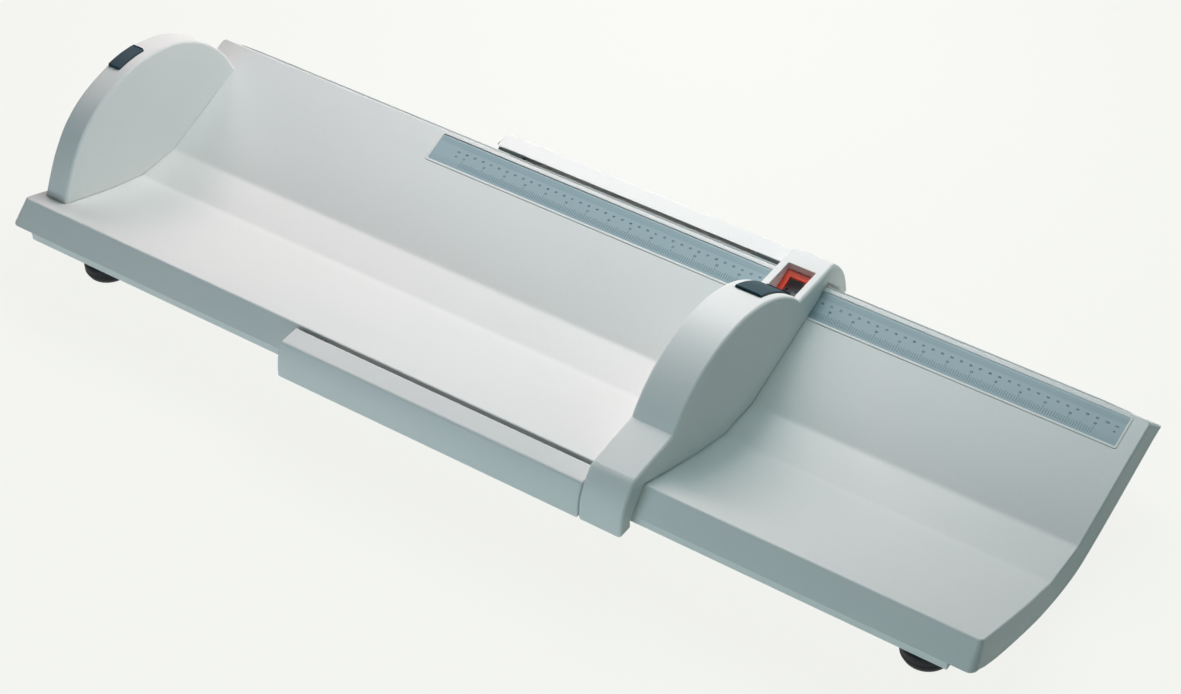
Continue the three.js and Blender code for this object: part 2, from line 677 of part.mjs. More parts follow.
// The hollow between the hook's two walls, open at its foot
function hookChannel(gap, curve, height) {
  const outer = curveBelow(curve, height).map(([out, z]) => [out - WALL, z]);
  const inner = hookInner(gap, HOOK_INNER_WALL, -HOOK_BOTTOM - CUT_OVERRUN, height);
  return [[HOOK_REACH - WALL, -HOOK_BOTTOM - CUT_OVERRUN], ...outer, ...inner.reverse()];
}

function crestHeight(y) {
  return CREST_CENTRE + Math.sqrt(CREST_RADIUS * CREST_RADIUS - y * y);
}

function crestArc(radius, start, end, steps) {
  const places = Array.from({ length: steps + 1 }, (_, step) => start + ((end - start) * step) / steps);
  return places.map((y) => [y, CREST_CENTRE + Math.sqrt(radius * radius - y * y)]);
}

function panelOutline() {
  const frontCurve = onSide(hookCurve(LEDGE_TOP), -1);
  const rearCurve = onSide(hookCurve(CARRIAGE_TOP), 1).reverse();
  const rimFront = besideSkirt(0, FRONT_HOOK_GAP);
  const rimRear = besideSkirt(0, REAR_HOOK_GAP);
  const frontInner = onSide([...hookInner(FRONT_HOOK_GAP, 0, -HOOK_BOTTOM, rimFront[1])], -1);
  const rearInner = onSide([...hookInner(REAR_HOOK_GAP, 0, -HOOK_BOTTOM, rimRear[1])], 1);
  const bed = bedLine(-HALF_WIDTH, HALF_WIDTH, BED_CLEARANCE);
  const crest = crestArc(CREST_RADIUS, -CREST_HALF_CHORD, CREST_HALF_CHORD, 28);
  return [
    ...frontCurve, ...crest, [CREST_HALF_CHORD, CARRIAGE_TOP], ...rearCurve,
    ...rearInner, ...bed.reverse(), ...frontInner.reverse(),
  ];
}

function chamberOutline() {
  const ledgeRise = crestHeight(CREST_HALF_CHORD) - LEDGE_TOP;
  const arc = crestArc(CREST_RADIUS - WALL, -CREST_HALF_CHORD + WALL, CREST_HALF_CHORD - WALL, 20);
  const floor = -TROUGH_DEPTH - CUT_OVERRUN;
  return [
    [-CHAMBER_HALF, LEDGE_TOP - WALL], [-CREST_HALF_CHORD + WALL, LEDGE_TOP + ledgeRise - WALL], ...arc,
    [CREST_HALF_CHORD, CARRIAGE_TOP - WALL], [CHAMBER_HALF, CARRIAGE_TOP - WALL],
    [CHAMBER_HALF, floor], [-CHAMBER_HALF, floor],
  ];
}

function baseScrewPlaces() {
  const places = [];
  [-1, 1].forEach((end) => [-1, 1].forEach((side) => {
    const name = `${end < 0 ? 'front' : 'rear'}_${side < 0 ? 'left' : 'right'}`;
    places.push({ name, x: side * BASE_SCREW_SIDE, y: end * BASE_SCREW_OFFSET });
  }));
  return places;
}

// The places of the arm screws, as [outward, z]
const armScrewPlaces = [
  { name: 'upper', out: ARM_SCREW_UPPER_OUT, z: -ARM_SCREW_UPPER_DEPTH },
  { name: 'lower', out: ARM_SCREW_LOWER_OUT, z: -ARM_SCREW_LOWER_DEPTH },
];

const sides = [
  { name: 'front', side: -1, hookGap: FRONT_HOOK_GAP, armGap: FRONT_ARM_GAP, top: LEDGE_TOP },
  { name: 'rear', side: 1, hookGap: REAR_HOOK_GAP, armGap: REAR_ARM_GAP, top: CARRIAGE_TOP },
];

const ROOM_WIDTH = PANEL_WIDTH - 2 * WALL;
const BASE_BOTTOM = BED_CLEARANCE - TROUGH_DEPTH;
const BOSS_BOTTOM = BASE_BOTTOM + BASE_THICKNESS + SEAT_GAP;

function barAlongX(radius, length) {
  return bar(radius, length).rotateY(Math.PI / 2);
}

function footPanel() {
  const outline = panelOutline();
  const body = () => drawnAlongX(outline, PANEL_WIDTH, PANEL_EDGE_ROUNDING);
  const collarBox = block(
    WINDOW_WIDTH + 2 * COLLAR_WALL, WINDOW_LENGTH + 2 * COLLAR_WALL, 2 * (CARRIAGE_TOP + TROUGH_DEPTH),
  );
  const collar = shaped(body(), { keep: moved(collarBox, 0, WINDOW_CENTRE, 0) });
  const windowCut = block(WINDOW_WIDTH, WINDOW_LENGTH, 2 * (CARRIAGE_TOP + TROUGH_DEPTH));
  const channels = sides.map(({ side, hookGap, top }) => drawnAlongX(
    onSide(hookChannel(hookGap, hookCurve(top), HOOK_CHANNEL_TOP), side), ROOM_WIDTH,
  ));
  const webBar = block(PANEL_WIDTH - WALL, WEB_LENGTH, WEB_THICKNESS);
  const web = moved(webBar, 0, BRAKE_CENTRE, WEB_TOP - WEB_THICKNESS / 2);
  const webHole = moved(bar(PLUNGER_RADIUS + RUNNING_GAP, 2 * WEB_TOP), 0, BRAKE_CENTRE, WEB_TOP);
  const notchDepth = PAD_THICKNESS - PAD_PROUD + PAD_TRAVEL + PAD_GAP;
  const notch = drawnAlongX(
    strip(crestHeight, PAD_START - PAD_GAP, PAD_END + PAD_GAP, -notchDepth, CREST_TOP, 10),
    PAD_WIDTH + 2 * PAD_GAP,
  );
  const bosses = baseScrewPlaces().map(({ x, y }) => moved(
    bar(BASE_BOSS_RADIUS, BASE_BOSS_HEIGHT, SCREW_SEGMENTS), x, y, BOSS_BOTTOM + BASE_BOSS_HEIGHT / 2,
  ));
  const bossHoles = baseScrewPlaces().map(({ x, y }) => moved(
    bar(SMALL_SCREW_RADIUS + HOLE_CLEARANCE, 2 * BASE_SCREW_LENGTH, SCREW_SEGMENTS), x, y, BOSS_BOTTOM,
  ));
  const armHoles = sides.flatMap(({ side }) => armScrewPlaces.map(({ out, z }) => moved(
    barAlongX(SMALL_SCREW_RADIUS + HOLE_CLEARANCE, 2 * CUT_OVERRUN),
    -PANEL_WIDTH / 2, side * (HALF_WIDTH + out), z,
  )));
  return shaped(body(), {
    cuts: [drawnAlongX(chamberOutline(), ROOM_WIDTH), ...channels],
    lateJoins: [collar, web, ...bosses],
    lateCuts: [moved(windowCut, 0, WINDOW_CENTRE, 0), notch, webHole, ...bossHoles, ...armHoles],
  });
}

// The cover under the foot panel, which follows the bed
function footPanelBase() {
  const start = SEAT_GAP - CHAMBER_HALF;
  const lower = bedLine(start, BASE_REAR_END, BED_CLEARANCE);
  const upper = bedLine(start, BASE_REAR_END, BED_CLEARANCE + BASE_THICKNESS).reverse();
  const plate = drawnAlongX([...lower, ...upper], ROOM_WIDTH - 2 * SEAT_GAP);
  const shoeHole = block(SHOE_WIDTH + 2 * PAD_GAP, SHOE_LENGTH + 2 * PAD_GAP, 2 * TROUGH_DEPTH);
  const screwHoles = baseScrewPlaces().map(({ x, y }) => moved(
    bar(SMALL_SCREW_RADIUS + HOLE_CLEARANCE, 2 * TROUGH_DEPTH, SCREW_SEGMENTS), x, y, BASE_BOTTOM,
  ));
  const counterbores = baseScrewPlaces().map(({ x, y }) => moved(
    bar(SMALL_HEAD_RADIUS + HOLE_CLEARANCE, 2 * BASE_COUNTERBORE, SCREW_SEGMENTS), x, y, BASE_BOTTOM,
  ));
  return shaped(plate, { cuts: [moved(shoeHole, 0, BRAKE_CENTRE, 0), ...screwHoles, ...counterbores] });
}

// Places along the arm, from its middle, where a glide and a keeper sit
function glidePlaces() {
  const x = ARM_LENGTH / 2 - GLIDE_END_INSET - GLIDE_LENGTH / 2;
  return [{ name: 'left', x: -x }, { name: 'right', x }];
}

const KEEPER_SCREW_OUT = (HOOK_REACH - WALL + HOOK_FOOT_INNER + HOOK_INNER_WALL) / 2;

function guideArm({ side, armGap }) {
  const curve = curveBelow(hookCurve(LEDGE_TOP), ARM_TOP);
  const outline = onSide([...curve, ...hookInner(armGap, 0, -HOOK_BOTTOM, ARM_TOP).reverse()], side);
  const body = drawnAlongX(outline, ARM_LENGTH, PANEL_EDGE_ROUNDING);
  const channel = drawnAlongX(
    onSide(hookChannel(armGap, hookCurve(LEDGE_TOP), ARM_TOP - WALL), side), ARM_LENGTH - 2 * WALL,
  );
  const keeperBosses = glidePlaces().map(({ x }) => moved(
    block(2 * ARM_BOSS_RADIUS, 2 * ARM_BOSS_RADIUS + SEAT_GAP, ARM_BOSS_HEIGHT),
    x, side * (HALF_WIDTH + KEEPER_SCREW_OUT), ARM_BOSS_HEIGHT / 2 - HOOK_BOTTOM,
  ));
  const keeperHoles = glidePlaces().map(({ x }) => moved(
    bar(SMALL_SCREW_RADIUS + HOLE_CLEARANCE, 2 * KEEPER_SCREW_LENGTH, SCREW_SEGMENTS),
    x, side * (HALF_WIDTH + KEEPER_SCREW_OUT), -HOOK_BOTTOM,
  ));
  const endBosses = armScrewPlaces.map(({ out, z }) => moved(
    barAlongX(ARM_BOSS_RADIUS, ARM_END_BOSS), (ARM_LENGTH - ARM_END_BOSS) / 2 - WALL / 2,
    side * (HALF_WIDTH + out), z,
  ));
  const endHoles = armScrewPlaces.map(({ out, z }) => moved(
    barAlongX(SMALL_SCREW_RADIUS + HOLE_CLEARANCE, 2 * ARM_SCREW_LENGTH), ARM_LENGTH / 2,
    side * (HALF_WIDTH + out), z,
  ));
  return shaped(body, {
    cuts: [channel], lateJoins: [...keeperBosses, ...endBosses], lateCuts: [...keeperHoles, ...endHoles],
  });
}

function glideShape({ side, armGap }) {
  const onRail = side > 0;
  const start = onRail ? REAR_GLIDE_START : FRONT_GLIDE_START;
  const width = onRail ? REAR_GLIDE_WIDTH : FRONT_GLIDE_WIDTH;
  const inner = onRail ? SEAT_GAP + RAIL_THICKNESS + RUNNING_GAP : RUNNING_GAP;
  const outer = armGap - SEAT_GAP;
  const outline = [
    besideSkirt(start, inner), besideSkirt(start, outer), besideSkirt(start + width, outer),
    besideSkirt(start + width, inner),
  ];
  return drawnAlongX(onSide(outline, side), GLIDE_LENGTH);
}

function keeperShape({ side }) {
  const outer = HOOK_REACH - KEEPER_EDGE_INSET;
  const width = outer - KEEPER_REACH;
  const plate = moved(
    block(GLIDE_LENGTH, width, KEEPER_THICKNESS),
    0, side * (HALF_WIDTH + KEEPER_REACH + width / 2), -HOOK_BOTTOM - SEAT_GAP - KEEPER_THICKNESS / 2,
  );
  const hole = moved(
    bar(SMALL_SCREW_RADIUS + HOLE_CLEARANCE, 2 * HOOK_BOTTOM, SCREW_SEGMENTS),
    0, side * (HALF_WIDTH + KEEPER_SCREW_OUT), -HOOK_BOTTOM,
  );
  const lugTop = LIP_BOTTOM - KEEPER_RUNNING_GAP;
  const lugHeight = lugTop + HOOK_BOTTOM + SEAT_GAP + KEEPER_THICKNESS;
  const lugWidth = HOOK_FOOT_INNER - SEAT_GAP - KEEPER_REACH;
  const lug = moved(
    block(GLIDE_LENGTH, lugWidth, lugHeight),
    0, side * (HALF_WIDTH + KEEPER_REACH + lugWidth / 2), lugTop - lugHeight / 2,
  );
  return shaped(plate, { joins: [lug], cuts: [hole] });
}

// The red frame, which lies above the scale at the slope of the bed's rear side
function readingFrame() {
  const levelLength = WINDOW_LENGTH - 2 * SEAT_GAP - FRAME_THICKNESS * Math.sin(FACET_ANGLE);
  const slopeLength = levelLength / Math.cos(FACET_ANGLE);
  const width = WINDOW_WIDTH - 2 * SEAT_GAP;
  const plate = block(width, slopeLength, FRAME_THICKNESS);
  const opening = block(width - 2 * FRAME_SIDE_BAR, slopeLength - 2 * FRAME_END_BAR, 2 * FRAME_THICKNESS);
  const footY = WINDOW_CENTRE + FRAME_LIFT * Math.sin(FACET_ANGLE);
  return onRearSide(shaped(plate, { cuts: [opening] }), 0, footY, FRAME_LIFT);
}

function thumbPad() {
  return drawnAlongX(
    strip(crestHeight, PAD_START, PAD_END, PAD_PROUD - PAD_THICKNESS, PAD_PROUD, 10), PAD_WIDTH,
  );
}

const PAD_UNDERSIDE = crestHeight(BRAKE_CENTRE + PLUNGER_HEAD_RADIUS) + PAD_PROUD - PAD_THICKNESS - SEAT_GAP;
const SHOE_TOP = bedHeight(BRAKE_CENTRE + SHOE_LENGTH / 2) + SHOE_LIFT + SHOE_HEIGHT;

// The rod between the pad and the shoe
function brakePlunger() {
  const profile = [
    [0, SHOE_TOP + SEAT_GAP], [PLUNGER_RADIUS, SHOE_TOP + SEAT_GAP],
    [PLUNGER_RADIUS, PAD_UNDERSIDE - PLUNGER_HEAD_HEIGHT],
    [PLUNGER_HEAD_RADIUS, PAD_UNDERSIDE - PLUNGER_HEAD_HEIGHT],
    [PLUNGER_HEAD_RADIUS, PAD_UNDERSIDE], [0, PAD_UNDERSIDE],
  ];
  const points = profile.map(([radius, height]) => new THREE.Vector2(radius, height));
  return new THREE.LatheGeometry(points, SCREW_SEGMENTS * 2).rotateX(Math.PI / 2);
}

function brakeShoe() {
  const front = BRAKE_CENTRE - SHOE_LENGTH / 2;
  const rear = BRAKE_CENTRE + SHOE_LENGTH / 2;
  const outline = [...bedLine(front, rear, SHOE_LIFT), [rear, SHOE_TOP], [front, SHOE_TOP]];
  return drawnAlongX(outline, SHOE_WIDTH);
}

// A coil spring as one round wire along a helix
class Helix extends THREE.Curve {
  constructor(radius, height, turns) {
    super();
    this.radius = radius;
    this.height = height;
    this.turns = turns;
  }

  getPoint(share, target = new THREE.Vector3()) {
    const turn = share * this.turns * 2 * Math.PI;
    return target.set(this.radius * Math.cos(turn), this.radius * Math.sin(turn), share * this.height);
  }
}

const SPRING_BOTTOM = WEB_TOP + SEAT_GAP + SPRING_WIRE_RADIUS;
const SPRING_HEIGHT = PAD_UNDERSIDE - PLUNGER_HEAD_HEIGHT - SEAT_GAP - SPRING_WIRE_RADIUS - SPRING_BOTTOM;

function brakeSpring() {
  const section = new THREE.Shape();
  section.absarc(0, 0, SPRING_WIRE_RADIUS, 0, 2 * Math.PI);
  return new THREE.ExtrudeGeometry(section, {
    steps: SPRING_TURNS * 10,
    curveSegments: 3,
    extrudePath: new Helix(SPRING_RADIUS, SPRING_HEIGHT, SPRING_TURNS),
  });
}

// The standing part
function buildBed() {
  const bed = new THREE.Group();
  bed.position.z = RIM_HEIGHT;
  const scale = scalePlace();
  place(bed, 'tray_shell', trayShell(), shellWhite);
  place(bed, 'base_pan', basePan(), shellWhite);
  place(bed, 'rear_guide_rail', closed(railShape()), shellWhite);
  footPlaces().forEach(({ name, x, y }) => {
    place(bed, `foot_${name}`, closed(footShape()), footBlack, x, y, -RIM_HEIGHT);
    const seat = FOOT_RECESS_DEPTH - SEAT_GAP - RIM_HEIGHT;
    place(bed, `foot_screw_${name}`, closed(largeScrew(FOOT_SCREW_LENGTH)), screwSteel, x, y, seat);
  });
  panScrewPlaces().forEach((x, index) => {
    const seat = -PAN_DEPTH - SEAT_GAP;
    place(bed, `pan_screw_${index + 1}`, closed(largeScrew(PAN_SCREW_LENGTH)), screwSteel, x, 0, seat);
  });
  place(bed, 'head_panel', headPanel(), shellWhite);
  const coverX = HEAD_FACE_X - HEAD_THICKNESS + HEAD_EDGE_ROUNDING + HEAD_WALL / 2;
  place(bed, 'head_panel_cover', closed(headPanelCover()), shellWhite, coverX, 0, 0);
  place(bed, 'head_grip', closed(headGripStrip(0, HEAD_GRIP_PROUD)), gripTeal, HEAD_GRIP_X, 0, 0);
  headScrewPlaces().forEach(({ name, y }) => {
    const seat = TRAY_UNDERSIDE - SEAT_GAP;
    place(bed, `head_screw_${name}`, closed(largeScrew(HEAD_SCREW_LENGTH)), screwSteel, HEAD_BOSS_X, y, seat);
  });
  const stripLift = SEAT_GAP - SCALE_POCKET + SCALE_THICKNESS / 2;
  const stripBar = block(SCALE_LENGTH, SCALE_WIDTH, SCALE_THICKNESS);
  const stripShape = onRearSide(stripBar, scale.x, scale.y, stripLift);
  place(bed, 'scale_strip', closed(stripShape), scaleBlue);
  place(bed, 'scale_bezel', scaleBezel(scale), shellWhite);
  return bed;
}

function scaleBezel(scale) {
  const height = SCALE_POCKET - SEAT_GAP + BEZEL_PROUD;
  const innerLength = SCALE_LENGTH + 2 * SEAT_GAP;
  const innerWidth = SCALE_WIDTH + 2 * SEAT_GAP;
  const ring = shaped(block(innerLength + 2 * BEZEL_WIDTH, innerWidth + 2 * BEZEL_WIDTH, height), {
    cuts: [block(innerLength, innerWidth, 2 * height)],
  });
  return onRearSide(ring, scale.x, scale.y, BEZEL_PROUD - height / 2);
}

// The sliding part
function buildSlide() {
  const slide = new THREE.Group();
  slide.position.set(PANEL_CENTRE_X, 0, RIM_HEIGHT);
  place(slide, 'foot_panel', footPanel(), shellWhite);
  place(slide, 'foot_panel_base', footPanelBase(), shellWhite);
  place(slide, 'reading_frame', readingFrame(), frameRed);
  baseScrewPlaces().forEach(({ name, x, y }) => {
    const seat = BASE_BOTTOM + BASE_COUNTERBORE - SEAT_GAP / 2;
    place(slide, `base_screw_${name}`, closed(smallScrew(BASE_SCREW_LENGTH)), screwSteel, x, y, seat);
  });
  sides.forEach((edge) => {
    place(slide, `${edge.name}_guide_arm`, guideArm(edge), shellWhite, ARM_CENTRE_X, 0, 0);
    armScrewPlaces.forEach(({ name, out, z }) => {
      const shape = closed(smallScrew(ARM_SCREW_LENGTH)).rotateY(-Math.PI / 2);
      const seat = WALL + SEAT_GAP - PANEL_WIDTH / 2;
      const screwY = edge.side * (HALF_WIDTH + out);
      place(slide, `arm_screw_${edge.name}_${name}`, shape, screwSteel, seat, screwY, z);
    });
    glidePlaces().forEach(({ name, x }) => {
      const placeX = ARM_CENTRE_X + x;
      place(slide, `glide_${edge.name}_${name}`, closed(glideShape(edge)), glideBlack, placeX, 0, 0);
      place(slide, `keeper_${edge.name}_${name}`, keeperShape(edge), glideBlack, placeX, 0, 0);
      const screwY = edge.side * (HALF_WIDTH + KEEPER_SCREW_OUT);
      const seat = -HOOK_BOTTOM - 2 * SEAT_GAP - KEEPER_THICKNESS;
      const shape = closed(smallScrew(KEEPER_SCREW_LENGTH));
      place(slide, `keeper_screw_${edge.name}_${name}`, shape, screwSteel, placeX, screwY, seat);
    });
  });
  place(slide, 'thumb_pad', closed(thumbPad()), gripTeal);
  place(slide, 'brake_plunger', closed(brakePlunger()), glideBlack, 0, BRAKE_CENTRE, 0);
  place(slide, 'brake_shoe', closed(brakeShoe()), footBlack);
  place(slide, 'brake_spring', closed(brakeSpring()), screwSteel, 0, BRAKE_CENTRE, SPRING_BOTTOM);
  return slide;
}

const infantometer = new THREE.Group();
infantometer.add(buildBed());
infantometer.add(buildSlide());

export default infantometer;
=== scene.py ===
"""Infantometer: a trough-shaped bed with a head panel and a sliding foot panel, dressed as moulded plastic.

The scene is in metres, +Z up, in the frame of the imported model. Sizes in the classes are in millimetres.
"""
import json
import logging
import math
from collections.abc import Callable, Sequence
from dataclasses import dataclass
from enum import Enum

import bmesh
import bpy
from mathutils import Matrix, Vector

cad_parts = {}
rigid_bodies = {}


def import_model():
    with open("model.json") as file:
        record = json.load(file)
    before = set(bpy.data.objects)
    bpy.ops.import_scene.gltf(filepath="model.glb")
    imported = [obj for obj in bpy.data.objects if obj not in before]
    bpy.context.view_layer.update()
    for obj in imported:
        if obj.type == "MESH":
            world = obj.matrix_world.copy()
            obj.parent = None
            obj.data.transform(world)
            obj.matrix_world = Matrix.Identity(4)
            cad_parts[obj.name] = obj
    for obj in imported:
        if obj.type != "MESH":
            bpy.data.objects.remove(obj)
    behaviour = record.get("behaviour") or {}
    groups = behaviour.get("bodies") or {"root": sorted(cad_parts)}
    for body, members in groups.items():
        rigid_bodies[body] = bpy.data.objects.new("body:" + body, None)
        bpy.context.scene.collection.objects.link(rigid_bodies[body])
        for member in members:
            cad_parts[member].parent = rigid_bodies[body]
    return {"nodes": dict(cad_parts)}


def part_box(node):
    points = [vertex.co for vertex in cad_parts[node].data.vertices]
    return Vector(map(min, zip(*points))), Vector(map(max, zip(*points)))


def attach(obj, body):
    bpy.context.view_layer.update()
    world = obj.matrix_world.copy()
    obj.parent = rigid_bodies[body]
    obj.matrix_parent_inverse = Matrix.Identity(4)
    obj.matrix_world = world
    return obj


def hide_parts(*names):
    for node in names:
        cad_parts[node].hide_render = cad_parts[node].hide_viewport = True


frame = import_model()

log = logging.getLogger("infantometer")
MM = 0.001
Point = tuple[float, float]
Colour = tuple[float, float, float]


class Body(Enum):
    """The moving bodies that pieces ride on."""

    BED = "bed"
    SLIDE = "slide"
    BRAKE = "brake"


class Slot(Enum):
    """The record's material slots."""

    SHELL = "shell"
    SCALE = "scale"
    GRIP = "grip"
    RED = "red"
    RUBBER = "rubber"
    STEEL = "steel"
    ACETAL = "acetal"


class Side(Enum):
    """The two long sides of the bed, by the sign of Y."""

    FRONT = -1
    REAR = 1


# ---------------------------------------------------------------- shader graphs


class Value:
    """A number in a shader graph, with Python's operators."""

    def __init__(self, graph: "Graph", socket: bpy.types.NodeSocket) -> None:
        """Keeps the graph and the socket that gives the number."""
        self.graph = graph
        self.socket = socket

    def maths(self, operation: str, *others: "Value | float", clamp: bool = False) -> "Value":
        """Adds a Math node on this value.

        Args:
            operation: The node's operation.
            others: The other operands.
            clamp: Whether the result is held between 0 and 1.

        Returns:
            The node's result.
        """
        return self.graph.maths(operation, self, *others, clamp=clamp)

    def __add__(self, other: "Value | float") -> "Value":
        """Sum."""
        return self.maths("ADD", other)

    def __radd__(self, other: float) -> "Value":
        """Sum, from the right."""
        return self.maths("ADD", other)

    def __sub__(self, other: "Value | float") -> "Value":
        """Difference."""
        return self.maths("SUBTRACT", other)

    def __rsub__(self, other: float) -> "Value":
        """Difference, from the right."""
        return self.graph.maths("SUBTRACT", other, self)

    def __mul__(self, other: "Value | float") -> "Value":
        """Product."""
        return self.maths("MULTIPLY", other)

    def __rmul__(self, other: float) -> "Value":
        """Product, from the right."""
        return self.maths("MULTIPLY", other)

    def __truediv__(self, other: "Value | float") -> "Value":
        """Quotient."""
        return self.maths("DIVIDE", other)

    def held(self) -> "Value":
        """The value held between 0 and 1."""
        return self.maths("ADD", 0.0, clamp=True)

    def eased(self, low: float, high: float) -> "Value":
        """A soft step from 0 at low to 1 at high."""
        share = ((self - low) / (high - low)).held()
        return share * share * (3.0 - 2.0 * share)


class Graph:
    """One material's nodes."""

    def __init__(self, name: str) -> None:
        """Starts a material with its Principled shader and Object coordinates.

        Args:
            name: The material's name.
        """
        self.material = bpy.data.materials.new(name)
        self.material.use_nodes = True
        self.shader = self.material.node_tree.nodes["Principled BSDF"]
        self.place = self.node("ShaderNodeTexCoord").outputs["Object"]

    def node(self, kind: str, settings: dict | None = None, **inputs: object) -> bpy.types.Node:
        """Adds a node.

        Args:
            kind: The node's type.
            settings: Attributes that are set before the sockets.
            inputs: Socket values or links, by the socket's name with _ for a space, or by iN for the Nth.

        Returns:
            The new node.
        """
        made = self.material.node_tree.nodes.new(kind)
        for key, value in (settings or {}).items():
            setattr(made, key, value)
        for key, value in inputs.items():
            numbered = key[0] == "i" and key[1:].isdigit()
            self.feed(made.inputs[int(key[1:]) if numbered else key.replace("_", " ")], value)
        return made

    def feed(self, socket: bpy.types.NodeSocket, value: object) -> None:
        """Links a value or a socket to a socket, or sets a plain number or colour on it."""
        if isinstance(value, Value):
            value = value.socket
        if isinstance(value, bpy.types.NodeSocket):
            self.material.node_tree.links.new(value, socket)
        else:
            socket.default_value = value

    def maths(self, operation: str, *operands: "Value | float", clamp: bool = False) -> Value:
        """Adds a Math node and returns its result."""
        named = {f"i{index}": operand for index, operand in enumerate(operands)}
        made = self.node("ShaderNodeMath", {"operation": operation, "use_clamp": clamp}, **named)
        return Value(self, made.outputs[0])

    def axes(self) -> tuple[Value, Value, Value]:
        """The three Object coordinates, in metres."""
        split = self.node("ShaderNodeSeparateXYZ", Vector=self.place)
        return tuple(Value(self, socket) for socket in split.outputs)

    def noise(self, scale: float, detail: float = 2.0, stretch: Sequence[float] | None = None) -> Value:
        """A noise over the piece.

        Args:
            scale: Features per metre.
            detail: Levels of finer noise.
            stretch: Factors on the three axes.

        Returns:
            The noise, around 0.5.
        """
        place = self.place
        if stretch is not None:
            place = self.node("ShaderNodeMapping", Vector=place, Scale=stretch).outputs[0]
        made = self.node("ShaderNodeTexNoise", Vector=place, Scale=scale, Detail=detail)
        return Value(self, made.outputs["Fac"])

    def edge(self, radius: float) -> Value:
        """How far a rounded normal turns from the real one: 0 on a face and more along its edges."""
        rounded = self.node("ShaderNodeBevel", {"samples": 4}, Radius=radius * MM).outputs[0]
        flat = self.node("ShaderNodeNewGeometry").outputs["Normal"]
        dot = self.node("ShaderNodeVectorMath", {"operation": "DOT_PRODUCT"}, i0=rounded, i1=flat)
        return (1.0 - Value(self, dot.outputs["Value"])).eased(0.02, 0.3)

    def mixed(self, share: Value, low: Colour | bpy.types.NodeSocket, high: Colour) -> bpy.types.NodeSocket:
        """A colour between two.

        Args:
            share: 0 for low and 1 for high.
            low: The first colour, or a socket that gives it.
            high: The second colour.

        Returns:
            The socket that gives the mix.
        """
        made = self.node("ShaderNodeMix", {"data_type": "RGBA"}, i0=share)
        self.feed(made.inputs[6], low if isinstance(low, bpy.types.NodeSocket) else (*low, 1.0))
        self.feed(made.inputs[7], (*high, 1.0))
        return made.outputs[2]

    def dress(self, colour: object, roughness: object, height: Value | None, depth: float, **fixed: object) -> None:
        """Feeds the shader.

        Args:
            colour: The base colour, or its socket.
            roughness: The roughness.
            height: The relief, from 0 to 1.
            depth: The relief's depth in millimetres.
            fixed: Other sockets of the shader that have one value all over.
        """
        self.feed(self.shader.inputs["Base Color"], colour)
        self.feed(self.shader.inputs["Roughness"], roughness)
        for key, value in fixed.items():
            self.feed(self.shader.inputs[key.replace("_", " ")], value)
        if height is not None:
            bump = self.node("ShaderNodeBump", Strength=1.0, Distance=depth * MM, Height=height)
            self.feed(self.shader.inputs["Normal"], bump.outputs[0])


def linear(red: float, green: float, blue: float) -> Colour:
    """A colour of 0 to 255 parts as linear light."""
    return tuple(((part / 255 + 0.055) / 1.055) ** 2.4 if part > 10 else part / 3295 for part in (red, green, blue))


# ---------------------------------------------------------------- finishes


@dataclass(frozen=True)
class MouldedPlastic:
    """Matt plastic with a fine spark-eroded texture, faint flow marks and slightly polished edges."""

    name: str = "moulded_plastic"
    colour: Colour = linear(232, 234, 232)
    mark: Colour = linear(221, 226, 225)
    worn: Colour = linear(240, 241, 239)
    roughness: float = 0.5
    grain: float = 0.02

    def material(self) -> bpy.types.Material:
        """The material's nodes."""
        graph = Graph(self.name)
        grain = graph.noise(1900.0, 3.0)
        flow = graph.noise(7.0, 4.0, (0.5, 1.0, 1.0))
        handled = graph.noise(38.0, 3.0)
        speckle = graph.noise(750.0, 2.0)
        edge = graph.edge(1.2)
        tint = graph.mixed((flow.eased(0.35, 0.8) * 0.4 + (speckle - 0.4) * 0.7).held(), self.colour, self.mark)
        tint = graph.mixed(edge * handled.eased(0.35, 0.7) * 0.6, tint, self.worn)
        rough = self.roughness + (grain - 0.5) * 0.16 + (handled - 0.5) * 0.12 - edge * 0.12
        graph.dress(tint, rough, grain, self.grain, Specular_IOR_Level=0.42)
        return graph.material


@dataclass(frozen=True)
class ScaleFilm:
    """The blue-grey film of the scale, with painted shade along its upper and lower sides, a painted highlight along
    its upper edge, and fine brushing.
    """

    name: str
    slope: float
    low_edge: Point
    width: float
    colour: Colour = linear(158, 181, 188)
    # shade: the colour of the painted shade along the film's upper and lower sides
    shade: Colour = linear(136, 160, 170)
    # rim: the colour of a painted highlight along the film's upper edge
    rim: Colour = linear(186, 202, 207)

    def material(self) -> bpy.types.Material:
        """The material's nodes."""
        graph = Graph(self.name)
        _, across, up = graph.axes()
        low_y, low_z = (place * MM for place in self.low_edge)
        along = (across - low_y) * math.cos(self.slope) + (up - low_z) * math.sin(self.slope)
        share = along / (self.width * MM)
        brushing = graph.noise(900.0, 3.0, (0.012, 1.0, 1.0))
        cloud = graph.noise(24.0, 2.0)
        # Painted shade: a darker band over the upper part of the film, and darker towards its lower edge
        painted_upper_shade = share.eased(0.7, 0.8) * 0.5
        foot = (1.0 - share.eased(0.12, 0.34)) * 0.28
        tint = graph.mixed((painted_upper_shade + foot + (brushing - 0.5) * 0.2).held(), self.colour, self.shade)
        # Painted highlight: paler along the film's upper edge
        tint = graph.mixed(share.eased(0.9, 1.0) * 0.7, tint, self.rim)
        rough = 0.34 + (brushing - 0.5) * 0.12 + (cloud - 0.5) * 0.1
        graph.dress(tint, rough, brushing, 0.004, Specular_IOR_Level=0.5)
        return graph.material


